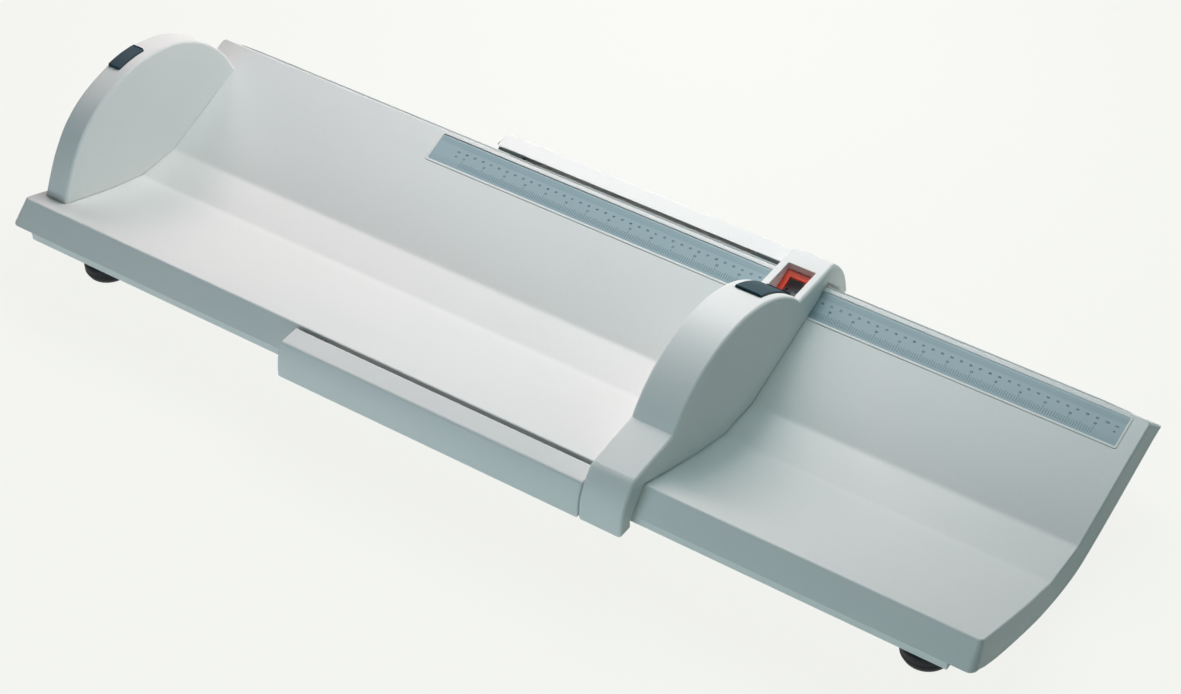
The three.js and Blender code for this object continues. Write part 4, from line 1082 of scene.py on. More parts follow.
@dataclass
class Scale:
    """The scale in its pocket on the rear side, with its raised frame, its marks and its numbers."""

    shop: Workshop
    trough: Trough = TROUGH
    length: float = 774.0
    width: float = 31.3
    right_inset: float = 18.3
    rim_inset: float = 4.9
    thickness: float = 0.9
    pocket_depth: float = 1.2
    bezel: float = 2.3
    seam: float = 0.55
    proud: float = 0.4
    film_rise: float = 0.12
    first: int = 28
    last: int = 100
    first_place: float = 333.9
    first_inch: int = 11
    last_inch: int = 39

    @property
    def centre(self) -> Vector:
        """The middle of the scale on the bed's surface."""
        y = self.trough.half - (self.rim_inset + self.width / 2) * math.cos(self.trough.slope)
        x = self.trough.length / 2 - self.right_inset - self.length / 2
        return Vector((x, y, self.trough.height(y)))

    def lay(self, piece: Workpiece) -> Workpiece:
        """Turns a flat piece made about the origin to the rear side's slope and puts it at the scale's place."""
        bpy.ops.mesh.select_all(action="SELECT")
        piece.turn(self.trough.slope, "X", (0.0, 0.0, 0.0))
        piece.move(*self.centre)
        return piece

    def plate(self, name: str, margin: float, corner: float, low: float, high: float) -> Workpiece:
        """A flat plate with rounded corners, before it is laid.

        Args:
            name: Its name.
            margin: How far it reaches beyond the scale.
            corner: The rounding of its corners.
            low: Its underside.
            high: Its upper side.

        Returns:
            The workpiece.
        """
        x, y = self.length / 2 + margin, self.width / 2 + margin
        piece = Workpiece.sheet(name, [-x, x], [-y, y], high)
        piece.select(Pick.CORNERS, lambda place: True)
        piece.bevel(corner, 5, corners=True)
        piece.select(Pick.FACES, lambda place, normal: True)
        piece.extrude(z=low - high)
        return piece.outwards()

    def pocket(self) -> Workpiece:
        """The tool that cuts the pocket."""
        margin = self.bezel + self.trough.gap + self.seam / 2
        piece = self.plate("pocket", margin, 2.6, -self.pocket_depth, 4.0)
        bpy.ops.mesh.select_all(action="SELECT")
        piece.move(y=(0.05 - self.seam) / 2)
        return self.lay(piece)

    def film(self) -> None:
        """The scale's film."""
        piece = self.plate("scale_film", 0.0, 1.4, self.trough.gap - self.pocket_depth, self.film_rise)
        piece.select(Pick.EDGES, lambda a, b: min(a.z, b.z) > self.film_rise - 0.01)
        piece.bevel(0.12, 2)
        self.lay(piece)
        low = self.centre.xyz
        half = self.width / 2
        edge = (low.y - half * math.cos(self.trough.slope), low.z - half * math.sin(self.trough.slope))
        finish = ScaleFilm("scale_film", self.trough.slope, edge, self.width)
        self.shop.finish(piece, finish, Body.BED, Slot.SCALE, "scale_strip")

    def frame(self) -> None:
        """The thin raised frame round the film."""
        gap = self.trough.gap
        piece = self.plate("scale_frame", gap + self.bezel, 2.4, gap - self.pocket_depth, self.proud)
        piece.combine("DIFFERENCE", self.plate("opening", gap / 2, 1.6, -5.0, 5.0))
        piece.select(Pick.EDGES, lambda a, b: a.z > self.proud - 0.01 and b.z > self.proud - 0.01)
        piece.bevel(0.3, 3)
        self.lay(piece)
        self.shop.finish(piece, MouldedPlastic(), Body.BED, Slot.SHELL, "scale_bezel")

    def reading(self, value: float) -> float:
        """X of a reading, from the scale's middle."""
        return self.first_place + 10.0 * (value - self.first) - self.trough.length / 2 - self.centre.x

    def row(self, share: float) -> float:
        """A place across the film, from 0 at its lower edge to 1."""
        return (share - 0.5) * self.width

    def marks(self, name: str, start: float, pitch: float, count: int, rows: Point, width: float) -> Workpiece:
        """A row of equal marks.

        Args:
            name: The row's name.
            start: X of the first mark.
            pitch: Distance from mark to mark.
            count: How many marks.
            rows: Shares of the film's width at which a mark starts and ends.
            width: A mark's own width.

        Returns:
            The workpiece, before it is laid.
        """
        sides = [start - width / 2, start + width / 2]
        piece = Workpiece.sheet(name, sides, [self.row(share) for share in rows], self.film_rise + 0.05)
        piece.select(Pick.FACES, lambda place, normal: True)
        piece.extrude(z=-0.03)
        piece.outwards()
        return piece.modify(
            "ARRAY", count=count, use_relative_offset=False, use_constant_offset=True,
            constant_offset_displace=(pitch * MM, 0.0, 0.0),
        )

    def graduations(self) -> None:
        """Millimetre marks above the numbers and tenth-inch marks below them."""
        start = self.reading(self.first - 1)
        tens = self.last - self.first + 2
        fine = [
            self.marks("marks", start, 1.0, 10 * tens - 8, (0.72, 0.8), 0.09),
            self.marks("fives", start, 5.0, 2 * tens - 1, (0.7, 0.72), 0.09),
            self.marks("tens", start, 10.0, tens, (0.68, 0.7), 0.12),
        ]
        low, inches = self.inch(self.first_inch), self.last_inch - self.first_inch
        coarse = [
            self.marks("tenths", low, 2.54, 10 * inches + 1, (0.07, 0.26), 0.4),
            self.marks("halves", low, 12.7, 2 * inches + 1, (0.26, 0.3), 0.4),
            self.marks("inches", low, 25.4, inches + 1, (0.3, 0.34), 0.4),
        ]
        for name, rows, ink in (
            ("scale_marks_upper", fine, Ink("fine_ink", linear(112, 136, 150), linear(130, 154, 168))),
            ("scale_marks_lower", coarse, Ink("scale_ink", linear(58, 86, 102), linear(84, 112, 128))),
        ):
            piece = rows[0].joined(*rows[1:])
            piece.obj.name = piece.obj.data.name = name
            self.shop.finish(self.lay(piece), ink, Body.BED, Slot.SCALE)

    def inch(self, value: float) -> float:
        """X of a reading in inches, from the scale's middle."""
        return self.reading(value * 2.54)

    def word(self, text: str, size: float, x: float, share: float) -> bpy.types.Object:
        """A word or number as a thin mesh, laid on the film.

        Args:
            text: The characters.
            size: Their size.
            x: The middle, from the scale's middle.
            share: The middle across the film.

        Returns:
            The mesh object.
        """
        ready()
        bpy.ops.object.text_add()
        made = bpy.context.active_object
        made.data.body = text
        made.data.size = size * MM
        made.data.resolution_u = 2
        made.data.extrude = 0.015 * MM
        made.data.offset = 0.1 * MM
        made.data.align_x = "CENTER"
        made.data.align_y = "CENTER"
        bpy.ops.object.convert(target="MESH")
        made = bpy.context.active_object
        made.data.transform(Matrix.Translation(Vector((x, self.row(share), self.film_rise + 0.035)) * MM))
        return made

    def numbers(self) -> None:
        """Centimetre numbers in the upper row and inch numbers in the lower one, with the units."""
        words = [(str(value), self.reading(value), 0.595) for value in range(self.first, self.last + 1)]
        words += [(str(value), self.inch(value), 0.41) for value in range(self.first_inch, self.last_inch + 1)]
        for x in (self.reading(self.first - 1), self.reading(self.last + 1)):
            words += [("cm", x, 0.595), ("in", x, 0.41)]
        made = [self.word(text, 3.1, x, share) for text, x, share in words]
        ready()
        for obj in made:
            obj.select_set(True)
        bpy.context.view_layer.objects.active = made[0]
        bpy.ops.object.join()
        piece = Workpiece("scale_numbers")
        ink = Ink("number_ink", linear(38, 58, 74), linear(62, 84, 100))
        self.shop.finish(self.lay(piece), ink, Body.BED, Slot.SCALE)

    def build(self) -> None:
        """Makes the scale's pieces."""
        self.film()
        self.frame()
        self.graduations()
        self.numbers()


@dataclass
class HeadPanel:
    """The fixed panel at the left end, with its back cover and the inlay on its top edge."""

    shop: Workshop
    trough: Trough = TROUGH
    thickness: float = 27.2
    height: float = 84.0
    half_width: float = 136.0
    rounding: float = 3.0
    wall: float = 3.0
    seam: float = 0.8
    grip_length: float = 38.0
    grip_width: float = 15.4
    grip_depth: float = 2.0
    grip_proud: float = 1.4
    cap: float = 0.6
    grip_edge: float = 1.0
    grip_centre: float = -3.0

    def arch(self, inset: float, count: int = 88) -> list[Point]:
        """The arch inside a wall, from its front end to its rear end."""
        shares = [
            (-0.93, 0.12), (-0.824, 0.393), (-0.676, 0.655), (-0.485, 0.845), (-0.25, 0.958), (-0.03, 1.0),
            (0.206, 0.958), (0.426, 0.845), (0.625, 0.643), (0.78, 0.393), (0.882, 0.143),
        ]
        reach = self.half_width - inset
        rim = self.trough.rim
        points = [(across * reach, rim + up * self.height - inset) for across, up in shares]
        ends = [(share * reach, self.trough.height(share * reach) + self.seam) for share in (-0.997, 0.945)]
        return spline([ends[0], *points, ends[1]], count)

    def outline(self, inset: float, lift: float, count: int = 88) -> list[Point]:
        """The whole outline inside a wall, closed along the bed at a lift."""
        arch = self.arch(inset, count)
        return arch + self.trough.line(arch[0][0], arch[-1][0], lift)[::-1]

    def arch_height(self, y: float) -> float:
        """Height of the arch at a place across the bed."""
        return meet(self.arch(0.0), y)[1]

    def grip_block(self, name: str, gap: float, high: float, low: float | None = None) -> Workpiece:
        """A strip that follows the arch where the inlay sits, between two heights over it."""
        low = -self.grip_depth - gap if low is None else low
        reach = self.grip_length / 2
        start, end = self.grip_centre - reach - gap, self.grip_centre + reach + gap
        left = HEAD_FACE - self.thickness + self.grip_edge - gap
        outline = strip(self.arch_height, start, end, low, high)
        return Workpiece.drawn(name, outline, left, left + self.grip_width + 2 * gap)

    def panel(self) -> None:
        """The rounded moulding, hollow from behind."""
        left = HEAD_FACE - self.thickness
        outline = self.outline(0.0, self.seam)
        piece = Workpiece.drawn("head_moulding", outline, left, HEAD_FACE)
        piece.round_ends(left, HEAD_FACE, self.rounding, 4, [*outline[88:], outline[0]])
        room = Workpiece.drawn("room", self.outline(self.wall, -5.0, 44), left - 5.0, HEAD_FACE - self.wall)
        notch = self.grip_block("notch", self.trough.gap, 5.0)
        piece.combine("DIFFERENCE", room, notch)
        self.shop.finish(piece, MouldedPlastic(), Body.BED, Slot.SHELL, "head_panel")

    def cover(self) -> None:
        """The plate that closes its back."""
        inset = self.wall + self.trough.gap
        left = HEAD_FACE - self.thickness + 2.5
        piece = Workpiece.drawn("head_back_plate", self.outline(inset, self.seam), left, left + self.wall)
        piece.round_ends(left, left, 0.7, 3)
        self.shop.finish(piece, MouldedPlastic(), Body.BED, Slot.SHELL, "head_panel_cover")

    def grip(self) -> None:
        """The dark inlay: a black carrier with a soft cap on it, both rounded; the carrier's near-black colour is
        partly its own and partly painted shade on the inlay's side walls.
        """
        left = HEAD_FACE - self.thickness + self.grip_edge
        sides = left, left + self.grip_width
        ends = self.grip_centre - self.grip_length / 2, self.grip_centre + self.grip_length / 2
        low, high = self.grip_proud - self.cap, self.grip_proud
        carrier = self.grip_block("head_inlay_carrier", 0.0, low)
        carrier.round_block(sides, ends, lambda y: self.arch_height(y) + low, 1.6, 0.2)
        self.shop.finish(carrier, CARRIER, Body.BED, Slot.GRIP, "head_grip")
        cap = self.grip_block("head_inlay", 0.0, high, low)
        cap.round_block(sides, ends, lambda y: self.arch_height(y) + high, 1.6, 0.4)
        self.shop.finish(cap, GRIP, Body.BED, Slot.GRIP)

    def build(self) -> None:
        """Makes the head panel's pieces."""
        self.panel()
        self.cover()
        self.grip()


# ---------------------------------------------------------------- the slide


@dataclass(frozen=True)
class Hook:
    """The lines of the hooks that hold the slide over the long skirts, shared by foot panel and arms."""

    trough: Trough = TROUGH
    reach: float = 39.3
    foot_inner: float = 25.3
    bottom: float = 35.0
    wall: float = 3.0
    inner_wall: float = 2.5

    def curve(self, top: float, count: int = 24) -> list[Point]:
        """The outer curve as (outward, z), from its foot up to a height over the rim."""
        shares = [
            (1.0, 0.0), (0.98, 0.2), (0.925, 0.4), (0.83, 0.58), (0.7, 0.74), (0.545, 0.88), (0.42, 0.965),
            (0.3, 1.0),
        ]
        rise = top + self.bottom
        foot = self.trough.rim - self.bottom
        line = spline([(out * self.reach, foot + up * rise) for out, up in shares], count)
        return [line[0], *line[2:]]

    def below(self, curve: Sequence[Point], height: float) -> list[Point]:
        """The part of a rising curve below a height over the rim, ended there."""
        top = self.trough.rim + height
        after, out = meet(curve, top, 1)
        return [*curve[:after], (out, top)]

    def inner(self, gap: float, inset: float, bottom: float, height: float) -> list[Point]:
        """The inner line from the foot up, beside the skirt, to a height over the rim."""
        form = self.trough
        slant = math.hypot(form.flare, form.drop)
        out, up = form.drop / slant, form.flare / slant
        foot = self.foot_inner + inset
        bend = (gap + inset - foot * out) / up
        top = (gap + inset - height * up) / out
        return [(foot, form.rim - bottom), (foot, form.rim + bend), (top, form.rim + height)]

    def channel(self, gap: float, curve: Sequence[Point], height: float) -> list[Point]:
        """The hollow between the hook's two walls, open at its foot."""
        outer = [(out - self.wall, z) for out, z in self.below(curve, height)]
        inner = self.inner(gap, self.inner_wall, self.bottom + 5.0, height)
        return [(self.reach - self.wall, self.trough.rim - self.bottom - 5.0), *outer, *inner[::-1]]


HOOK = Hook()


@dataclass
class FootPanel:
    """The sliding moulding: crest, front ledge, rear carriage, both hooks, window and red frame."""

    shop: Workshop
    trough: Trough = TROUGH
    hook: Hook = HOOK
    reading: float = 665.8
    width: float = 47.4
    radius: float = 138.0
    top: float = 71.0
    half_chord: float = 107.0
    carriage: float = 18.5
    ledge: float = 16.0
    rounding: float = 3.4
    clearance: float = 1.3
    front_gap: float = 1.6
    rear_gap: float = 4.4
    chamber: float = 150.0
    wall: float = 3.0
    window_start: float = 110.0
    window_length: float = 39.0
    window_width: float = 30.0
    pad_start: float = 52.5
    pad_end: float = 106.0
    pad_width: float = 29.0
    pad_proud: float = 2.0
    cap: float = 0.7
    pad_thickness: float = 6.0
    pad_travel: float = 2.5
    pad_gap: float = 0.6
    side_bar: float = 6.2
    end_bar: float = 7.0

    @property
    def left(self) -> float:
        """X of its left face."""
        return HEAD_FACE + self.reading

    @property
    def centre(self) -> float:
        """X of its middle."""
        return self.left + self.width / 2

    def crest_height(self, y: float, inset: float = 0.0) -> float:
        """Height of the crest at a place across the bed."""
        centre = self.trough.rim + self.top - self.radius
        return centre + math.sqrt((self.radius - inset) ** 2 - y * y)

    def outline(self) -> list[Point]:
        """The outline of the moulding across the bed."""
        half, rim = self.trough.half, self.trough.rim
        front = turned_side(self.hook.curve(self.ledge), Side.FRONT, half)
        rear = turned_side(self.hook.curve(self.carriage), Side.REAR, half)[::-1]
        crest_end = math.sqrt(self.radius**2 - (self.radius - self.top + self.carriage) ** 2)
        places = [-self.half_chord + (self.half_chord + crest_end) * step / 56 for step in range(57)]
        crest = [(y, self.crest_height(y)) for y in places]
        front_inner, rear_inner = (
            turned_side(
                self.hook.inner(gap, 0.0, self.hook.bottom, self.trough.beside(0.0, gap)[1] - rim), side, half
            )
            for side, gap in ((Side.FRONT, self.front_gap), (Side.REAR, self.rear_gap))
        )
        bed = self.trough.line(-half, half, self.clearance)
        return [*front, *crest, *rear, *rear_inner, *bed[::-1], *front_inner[::-1]]

    def room(self) -> list[Point]:
        """The outline of the hollow under the crest."""
        rim, edge = self.trough.rim, self.half_chord - self.wall
        places = [edge * (step / 12 - 1) for step in range(25)]
        rise = self.crest_height(self.half_chord) - self.ledge - rim
        arc = [(y, self.crest_height(y, self.wall)) for y in places]
        return [
            (-self.chamber, rim + self.ledge - self.wall), (-edge, rim + self.ledge + rise - self.wall), *arc,
            (self.half_chord, rim + self.carriage - self.wall), (self.chamber, rim + self.carriage - self.wall),
            (self.chamber, rim - self.trough.depth - 5.0), (-self.chamber, rim - self.trough.depth - 5.0),
        ]

    def box(self, name: str, half_x: float, y: Point, z: Point, corner: float) -> Workpiece:
        """A block about the panel's middle, with its upright edges rounded."""
        piece = Workpiece.sheet(name, [self.centre - half_x, self.centre + half_x], list(y), z[0])
        if corner:
            piece.select(Pick.CORNERS, lambda place: True)
            piece.bevel(corner, 4, corners=True)
        piece.select(Pick.FACES, lambda place, normal: True)
        piece.extrude(z=z[1] - z[0])
        return piece.outwards()

    def notch(self) -> Workpiece:
        """The tool that cuts the thumb pad's opening."""
        start, end = self.pad_start - self.pad_gap, self.pad_end + self.pad_gap
        places = [start + (end - start) * step / 12 for step in range(13)]
        depth = self.pad_thickness - self.pad_proud + self.pad_travel + self.pad_gap
        lower = [(y, self.crest_height(y) - depth) for y in places]
        upper = [(y, self.trough.rim + self.top + 20.0) for y in reversed(places)]
        half = self.pad_width / 2 + self.pad_gap
        return Workpiece.drawn("notch", lower + upper, self.centre - half, self.centre + half)

    def moulding(self) -> None:
        """The moulding, drawn along X, rounded, hollowed and opened."""
        left, right, rim = self.left, self.left + self.width, self.trough.rim
        outline = self.outline()
        piece = Workpiece.drawn("slider_moulding", outline, left, right)
        bed = outline.index((self.trough.half, self.trough.height(self.trough.half) + self.clearance))
        piece.round_ends(left, right, self.rounding, 5, outline[bed:])
        inner_left, inner_right = left + self.wall, right - self.wall
        tools = [Workpiece.drawn("room", self.room(), inner_left, inner_right)]
        for side, gap, top in ((Side.FRONT, self.front_gap, self.ledge), (Side.REAR, self.rear_gap, self.carriage)):
            line = turned_side(self.hook.channel(gap, self.hook.curve(top, 12), 6.0), side, self.trough.half)
            tools.append(Workpiece.drawn("channel", line, inner_left, inner_right))
        piece.combine("DIFFERENCE", *tools)
        window = (self.window_start, self.window_start + self.window_length)
        half, wall = self.window_width / 2, 2.0
        collar = self.box("collar", half + wall, (window[0] - wall, window[1] + wall), (rim - 60, rim + 17.0), 0.0)
        line = self.trough.line(60.0, 170.0, self.clearance)
        under = Workpiece.drawn("under", [(60.0, rim - 90.0), (170.0, rim - 90.0), *line[::-1]], left - 5, right + 5)
        piece.combine("UNION", collar.combine("DIFFERENCE", under))
        opening = self.box("window", half, window, (rim - 60, rim + self.carriage - 0.5), 0.5)
        opening.select(Pick.FACES, lambda place, normal: normal.z > 0.9)
        for widen, rise in ((0.12, 0.3), (0.5, 0.22), (1.2, 0.6)):
            opening.extrude(z=rise)
            middle = (self.centre, sum(window) / 2, rim)
            opening.resize(1 + 2 * widen / self.window_width, 1 + 2 * widen / self.window_length, 1.0, middle)
        piece.combine("DIFFERENCE", opening, self.notch())
        self.shop.finish(piece, MouldedPlastic(), Body.SLIDE, Slot.SHELL, "foot_panel")

    def base(self) -> None:
        """The cover under it."""
        piece = Workpiece.refined("slider_base", "foot_panel_base", 0.5)
        self.shop.finish(piece, MouldedPlastic(), Body.SLIDE, Slot.SHELL, "foot_panel_base")

    def frame(self) -> None:
        """The red frame in the window, laid at the slope of the bed's rear side."""
        form = self.trough
        thickness, lift = 2.5, 11.8
        level = self.window_length - 2 * form.gap - thickness * math.sin(form.slope)
        half_y = level / math.cos(form.slope) / 2
        half_x = self.window_width / 2 - form.gap
        open_x, open_y = half_x - self.side_bar, half_y - self.end_bar
        piece = Workpiece.sheet("red_frame", [-half_x, -open_x, open_x, half_x],
                                [-half_y, -open_y, open_y, half_y], thickness / 2)
        piece.select(Pick.FACES, lambda place, normal: abs(place.x) < 1.0 and abs(place.y) < 1.0)
        bpy.ops.mesh.delete(type="FACE")
        piece.select(Pick.FACES, lambda place, normal: True)
        piece.extrude(z=-thickness)
        piece.outwards()

        def rim_edge(a: Vector, b: Vector) -> bool:
            """Whether an edge borders the frame's upper face."""
            if min(a.z, b.z) < thickness / 2 - 0.01:
                return False
            beside = any(abs(a.x - x) < 0.01 and abs(b.x - x) < 0.01 and max(abs(a.y), abs(b.y)) < y + 0.01
                         for x, y in ((-half_x, half_y), (half_x, half_y), (-open_x, open_y), (open_x, open_y)))
            across = any(abs(a.y - y) < 0.01 and abs(b.y - y) < 0.01 and max(abs(a.x), abs(b.x)) < x + 0.01
                         for x, y in ((half_x, -half_y), (half_x, half_y), (open_x, -open_y), (open_x, open_y)))
            return beside or across

        piece.select(Pick.EDGES, rim_edge)
        piece.bevel(0.6, 3)
        bpy.ops.mesh.select_all(action="SELECT")
        middle = self.window_start + self.window_length / 2
        y = middle + lift * math.sin(form.slope)
        piece.move(z=lift)
        piece.turn(form.slope, "X", (0.0, 0.0, 0.0))
        piece.move(self.centre, y, form.height(y))
        finish = GlossPlastic("red_plastic", linear(240, 64, 34), linear(250, 112, 74))
        self.shop.finish(piece, finish, Body.SLIDE, Slot.RED, "reading_frame")

    def pad(self) -> None:
        """The thumb pad, a little proud of the crest: a black carrier with a soft cap on it; the carrier's near-black
        colour is partly its own and partly painted shade on the pad's side walls.
        """
        under, middle, high = self.pad_proud - self.pad_thickness, self.pad_proud - self.cap, self.pad_proud
        sides = self.centre - self.pad_width / 2, self.centre + self.pad_width / 2
        ends = self.pad_start, self.pad_end
        for name, finish, low, top, edge, nodes in (
            ("thumb_rest_carrier", CARRIER, under, middle, 0.2, ("thumb_pad",)),
            ("thumb_rest", GRIP, middle, high, 0.5, ()),
        ):
            piece = self.pad_block(name, low, top)
            piece.round_block(sides, ends, lambda y, top=top: self.crest_height(y) + top, 2.2, edge)
            self.shop.finish(piece, finish, Body.BRAKE, Slot.GRIP, *nodes)

    def pad_block(self, name: str, low: float, high: float) -> Workpiece:
        """A strip that follows the crest where the pad sits, between two heights over it."""
        outline = strip(self.crest_height, self.pad_start, self.pad_end, low, high)
        return Workpiece.drawn(name, outline, self.centre - self.pad_width / 2, self.centre + self.pad_width / 2)

    def build(self) -> None:
        """Makes the foot panel's pieces."""
        self.moulding()
        self.base()
        self.frame()
        self.pad()


@dataclass
class GuideArms:
    """The two long arms beside the bed; their glides and keepers are made with the small parts."""

    shop: Workshop
    trough: Trough = TROUGH
    hook: Hook = HOOK
    length: float = 346.5
    top: float = 0.8
    ledge: float = 16.0
    front_gap: float = 5.0
    rear_gap: float = 5.6
    right: float = 156.1
    rounding: float = 1.6

    def arm(self, side: Side) -> None:
        """One arm, drawn along X and hollowed from below."""
        gap = self.front_gap if side is Side.FRONT else self.rear_gap
        half, left = self.trough.half, self.right - self.length
        curve = self.hook.below(self.hook.curve(self.ledge), self.top)
        inner = self.hook.inner(gap, 0.0, self.hook.bottom, self.top)
        line = fillet([*curve, *inner[::-1]], {len(curve) - 1: 2.2, len(curve): 1.2})
        piece = Workpiece.drawn(f"{side.name.lower()}_arm_moulding", turned_side(line, side, half), left, self.right)
        piece.round_ends(left, self.right, self.rounding, 4)
        channel = self.hook.channel(gap, self.hook.curve(self.ledge, 12), self.top - self.hook.wall)
        wall = self.hook.wall
        tool = Workpiece.drawn("channel", turned_side(channel, side, half), left + wall, self.right - wall)
        piece.combine("DIFFERENCE", tool)
        self.shop.finish(piece, MouldedPlastic(), Body.SLIDE, Slot.SHELL, f"{side.name.lower()}_guide_arm")

    def build(self) -> None:
        """Makes both arms."""
        for side in Side:
            self.arm(side)


@dataclass(frozen=True)
class Screw:
    """A pan-head screw with a cross recess, made about Z with its head down."""

    shank: float
    head: float
    rise: float
    pitch: float
    length: float

    def shape(self, name: str) -> Workpiece:
        """Turns the screw with the rings of its thread and cuts its recess."""
        root, end = self.shank * 0.82, self.rise + self.length
        profile = [
            (self.head * 0.7, 0.0), (self.head * 0.92, self.rise * 0.14), (self.head, self.rise * 0.45),
            (self.head, self.rise * 0.93), (self.head * 0.97, self.rise), (root, self.rise),
        ]
        for ring in range(1, int((self.length - self.pitch) / self.pitch)):
            middle = self.rise + ring * self.pitch
            profile += [(root, middle - self.pitch * 0.3), (self.shank, middle), (root, middle + self.pitch * 0.3)]
        profile += [(root, end - self.pitch * 0.8), (self.shank * 0.35, end)]
        piece = Workpiece.turned(name, profile, (0.0, 0.0, 0.0), 24)
        reach, width = self.head * 0.52, self.head * 0.1
        for x, y in ((reach, width), (width, reach)):
            arm = Workpiece.sheet("recess", [-x, x], [-y, y], -1.0)
            arm.select(Pick.FACES, lambda place, normal: True)
            arm.extrude(z=1.0 + self.rise * 0.55)
            piece.combine("DIFFERENCE", arm.outwards())
        return piece


@dataclass
class SmallParts:
    """Screws, glides, keepers and the brake's inner parts, most of them under the body."""

    shop: Workshop
    edge: float = 0.4
    shoe_rise: float = 0.6

    def screws(self) -> None:
        """A modelled screw in place of each packed one."""
        large, small = (2.4, 4.4, 3.0, 1.6), (1.4, 2.8, 1.7, 1.1)
        kinds = {
            "foot_screw": Screw(*large, 15.5), "pan_screw": Screw(*large, 14.0), "head_screw": Screw(*large, 16.0),
            "base_screw": Screw(*small, 12.0), "keeper_screw": Screw(*small, 12.0), "arm_screw": Screw(*small, 12.0),
        }
        for kind, screw in kinds.items():
            lying = kind == "arm_screw"
            pattern = screw.shape(f"{kind}_pattern")
            if lying:
                bpy.ops.mesh.select_all(action="SELECT")
                pattern.turn(-math.pi / 2, "Y", (0.0, 0.0, 0.0))
            for name, node in frame["nodes"].items():
                if not name.startswith(kind):
                    continue
                low, high = (Vector(corner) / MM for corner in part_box(name))
                middle = (low + high) / 2
                place = (high.x, middle.y, middle.z) if lying else (middle.x, middle.y, low.z)
                piece = pattern.copied(f"turned_{name}", *place)
                self.shop.finish(piece, Steel(), self.body(node), Slot.STEEL, name, angle=35.0)
            ready()
            bpy.data.objects.remove(pattern.obj, do_unlink=True)

    def body(self, node: bpy.types.Object) -> Body:
        """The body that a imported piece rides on."""
        return Body(node.parent.name.split(":")[-1])

    def blocks(self) -> None:
        """The glides, keepers, plunger and shoe with rounded edges, and the spring as packed."""
        acetal = GlossPlastic("acetal", linear(30, 38, 37), linear(70, 78, 76), 0.4)
        glide = GlossPlastic("glide_acetal", linear(56, 68, 66), linear(84, 96, 94), 0.5)
        rubber = Rubber("brake_rubber", linear(17, 18, 21), linear(52, 54, 58), 0.55, 0.04)
        for name, node in frame["nodes"].items():
            if node.hide_render or "screw" in name:
                continue
            if name == "brake_spring":
                for slot in node.material_slots:
                    slot.material = self.shop.material(Steel())
                continue
            piece = Workpiece.refined(f"shaped_{name}", name, self.edge)
            shoe = name == "brake_shoe"
            if shoe:
                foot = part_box(name)[0][2] / MM + 9.5
                piece.select(Pick.CORNERS, lambda place: True)
                piece.fit(lambda place: (place.x, place.y, place.z + self.shoe_rise * (place.z < foot)))
            finish, slot = (rubber, Slot.RUBBER) if shoe else (acetal, Slot.ACETAL)
            if name.startswith("glide"):
                finish = glide
            self.shop.finish(piece, finish, self.body(node), slot, name)

    def build(self) -> None:
        """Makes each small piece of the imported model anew."""
        self.screws()
        self.blocks()


# ---------------------------------------------------------------- the studio


@dataclass(frozen=True)
class Lamp:
    """A soft square lamp over the object."""

    name: str
    place: tuple[float, float, float]
    aim: tuple[float, float, float]
    size: float
    power: float
    colour: Colour = (1.0, 1.0, 1.0)

    def hang(self) -> None:
        """Puts the lamp in the scene."""
        data = bpy.data.lights.new(self.name, "AREA")
        data.shape = "SQUARE"
        data.size = self.size
        data.energy = self.power
        data.color = self.colour
        lamp = bpy.data.objects.new(self.name, data)
        lamp.location = self.place
        lamp.rotation_mode = "QUATERNION"
        lamp.rotation_quaternion = (Vector(self.aim) - Vector(self.place)).to_track_quat("-Z", "Y")
        bpy.context.scene.collection.objects.link(lamp)


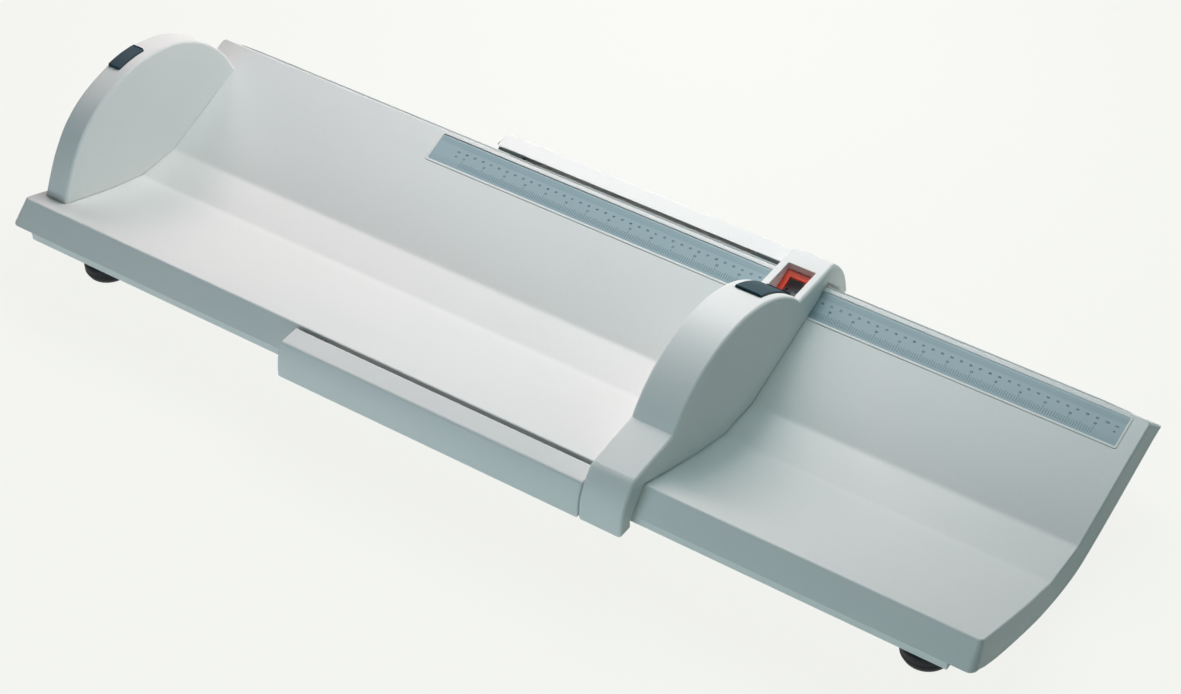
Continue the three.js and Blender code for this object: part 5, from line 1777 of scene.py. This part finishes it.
@dataclass
class Studio:
    """A pale floor, soft lamps and the camera at the photograph's angle."""

    backdrop: Colour = linear(246, 247, 242)
    ambient: Colour = (0.86, 0.97, 1.0)
    ambient_level: float = 0.02
    paper: Colour = linear(248, 249, 245)

    def camera(self) -> None:
        """The camera, placed by its own axes."""
        data = bpy.data.cameras.new("camera")
        data.sensor_width = 36.0
        data.lens = 87.82
        data.clip_end = 100.0
        camera = bpy.data.objects.new("camera", data)
        right = Vector((0.82172405, 0.56856415, -0.03878645))
        up = Vector((-0.36391566, 0.57589328, 0.73206033))
        back = Vector((0.43856011, -0.58743658, 0.68013476))
        camera.matrix_world = (
            Matrix.Translation((1.24197, -1.61566, 1.91957)) @ Matrix((right, up, back)).transposed().to_4x4()
        )
        bpy.context.scene.collection.objects.link(camera)
        bpy.context.scene.camera = camera

    def seen(self, graph_nodes: bpy.types.Nodes, links: bpy.types.NodeLinks) -> bpy.types.NodeSocket:
        """1 for what the camera sees, straight or through gloss or glass, and 0 for light."""
        path = graph_nodes.new("ShaderNodeLightPath")
        total = None
        for name in ("Is Camera Ray", "Is Glossy Ray", "Is Transmission Ray"):
            if total is None:
                total = path.outputs[name]
                continue
            made = graph_nodes.new("ShaderNodeMath")
            made.operation = "MAXIMUM"
            links.new(total, made.inputs[0])
            links.new(path.outputs[name], made.inputs[1])
            total = made.outputs[0]
        return total

    def world(self) -> None:
        """The room's light, and the pale backdrop that the camera sees."""
        world = bpy.data.worlds.new("room")
        world.use_nodes = True
        bpy.context.scene.world = world
        nodes, links = world.node_tree.nodes, world.node_tree.links
        light = nodes["Background"]
        light.inputs["Color"].default_value = (*self.ambient, 1.0)
        light.inputs["Strength"].default_value = self.ambient_level
        back = nodes.new("ShaderNodeBackground")
        back.inputs["Color"].default_value = (*self.backdrop, 1.0)
        mix = nodes.new("ShaderNodeMixShader")
        links.new(self.seen(nodes, links), mix.inputs[0])
        links.new(light.outputs[0], mix.inputs[1])
        links.new(back.outputs[0], mix.inputs[2])
        links.new(mix.outputs[0], nodes["World Output"].inputs["Surface"])

    def floor(self) -> None:
        """The pale floor, which keeps a faint shadow."""
        ready()
        bpy.ops.mesh.primitive_plane_add(size=60.0)
        floor = bpy.context.active_object
        floor.name = "floor"
        material = bpy.data.materials.new("floor_paper")
        material.use_nodes = True
        nodes, links = material.node_tree.nodes, material.node_tree.links
        nodes.clear()
        paper = nodes.new("ShaderNodeBsdfDiffuse")
        paper.inputs["Color"].default_value = (*self.backdrop, 1.0)
        glow = nodes.new("ShaderNodeEmission")
        glow.inputs["Color"].default_value = (*self.paper, 1.0)
        share = nodes.new("ShaderNodeMath")
        share.operation = "MULTIPLY"
        links.new(self.seen(nodes, links), share.inputs[0])
        share.inputs[1].default_value = 0.92
        mix = nodes.new("ShaderNodeMixShader")
        links.new(share.outputs[0], mix.inputs[0])
        links.new(paper.outputs[0], mix.inputs[1])
        links.new(glow.outputs[0], mix.inputs[2])
        output = nodes.new("ShaderNodeOutputMaterial")
        links.new(mix.outputs[0], output.inputs["Surface"])
        floor.data.materials.append(material)

    def lamps(self) -> None:
        """Soft lamps: two near ones over the rear side, three further ones round the object, two low ones."""
        lamps = [
            Lamp("near_left", (-0.2, 0.7, 0.75), (-0.16, 0.0, 0.05), 0.5, 5.6, (1.0, 0.9, 0.885)),
            Lamp("near_right", (0.1, 0.5, 1.05), (0.08, 0.0, 0.05), 0.6, 4.4, (0.833, 0.977, 1.0)),
            Lamp("left", (-1.5, 1.2, 1.3), (-0.4, 0.0, 0.05), 0.8, 11.9, (1.0, 0.822, 0.879)),
            Lamp("right", (1.5, 1.2, 1.3), (0.4, 0.0, 0.05), 0.8, 3.1, (0.3, 0.95, 1.0)),
            Lamp("front", (0.0, -2.6, 0.7), (0.0, 0.0, 0.05), 1.0, 6.3, (0.46, 0.88, 1.0)),
            Lamp("low_left", (-0.3, -1.6, 0.2), (-0.24, 0.0, 0.05), 0.6, 5.7, (0.819, 0.93, 1.0)),
            Lamp("low_right", (0.6, -1.2, 0.15), (0.48, 0.0, 0.05), 0.4, 1.0, (0.74, 1.0, 0.917)),
        ]
        for lamp in lamps:
            lamp.hang()

    def build(self) -> None:
        """Sets up the studio."""
        scene = bpy.context.scene
        scene.view_settings.view_transform = "Standard"
        self.camera()
        self.world()
        self.floor()
        self.lamps()


def main() -> None:
    """Builds the studio and the object, piece by piece."""
    logging.basicConfig(level=logging.INFO, format="%(name)s: %(message)s")
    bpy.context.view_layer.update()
    Studio().build()
    shop = Workshop()
    for maker in (Bed, Scale, HeadPanel, FootPanel, GuideArms, SmallParts):
        maker(shop).build()
    ready()
    log.info("%d pieces made", shop.count)


if __name__ == "__main__":
    main()
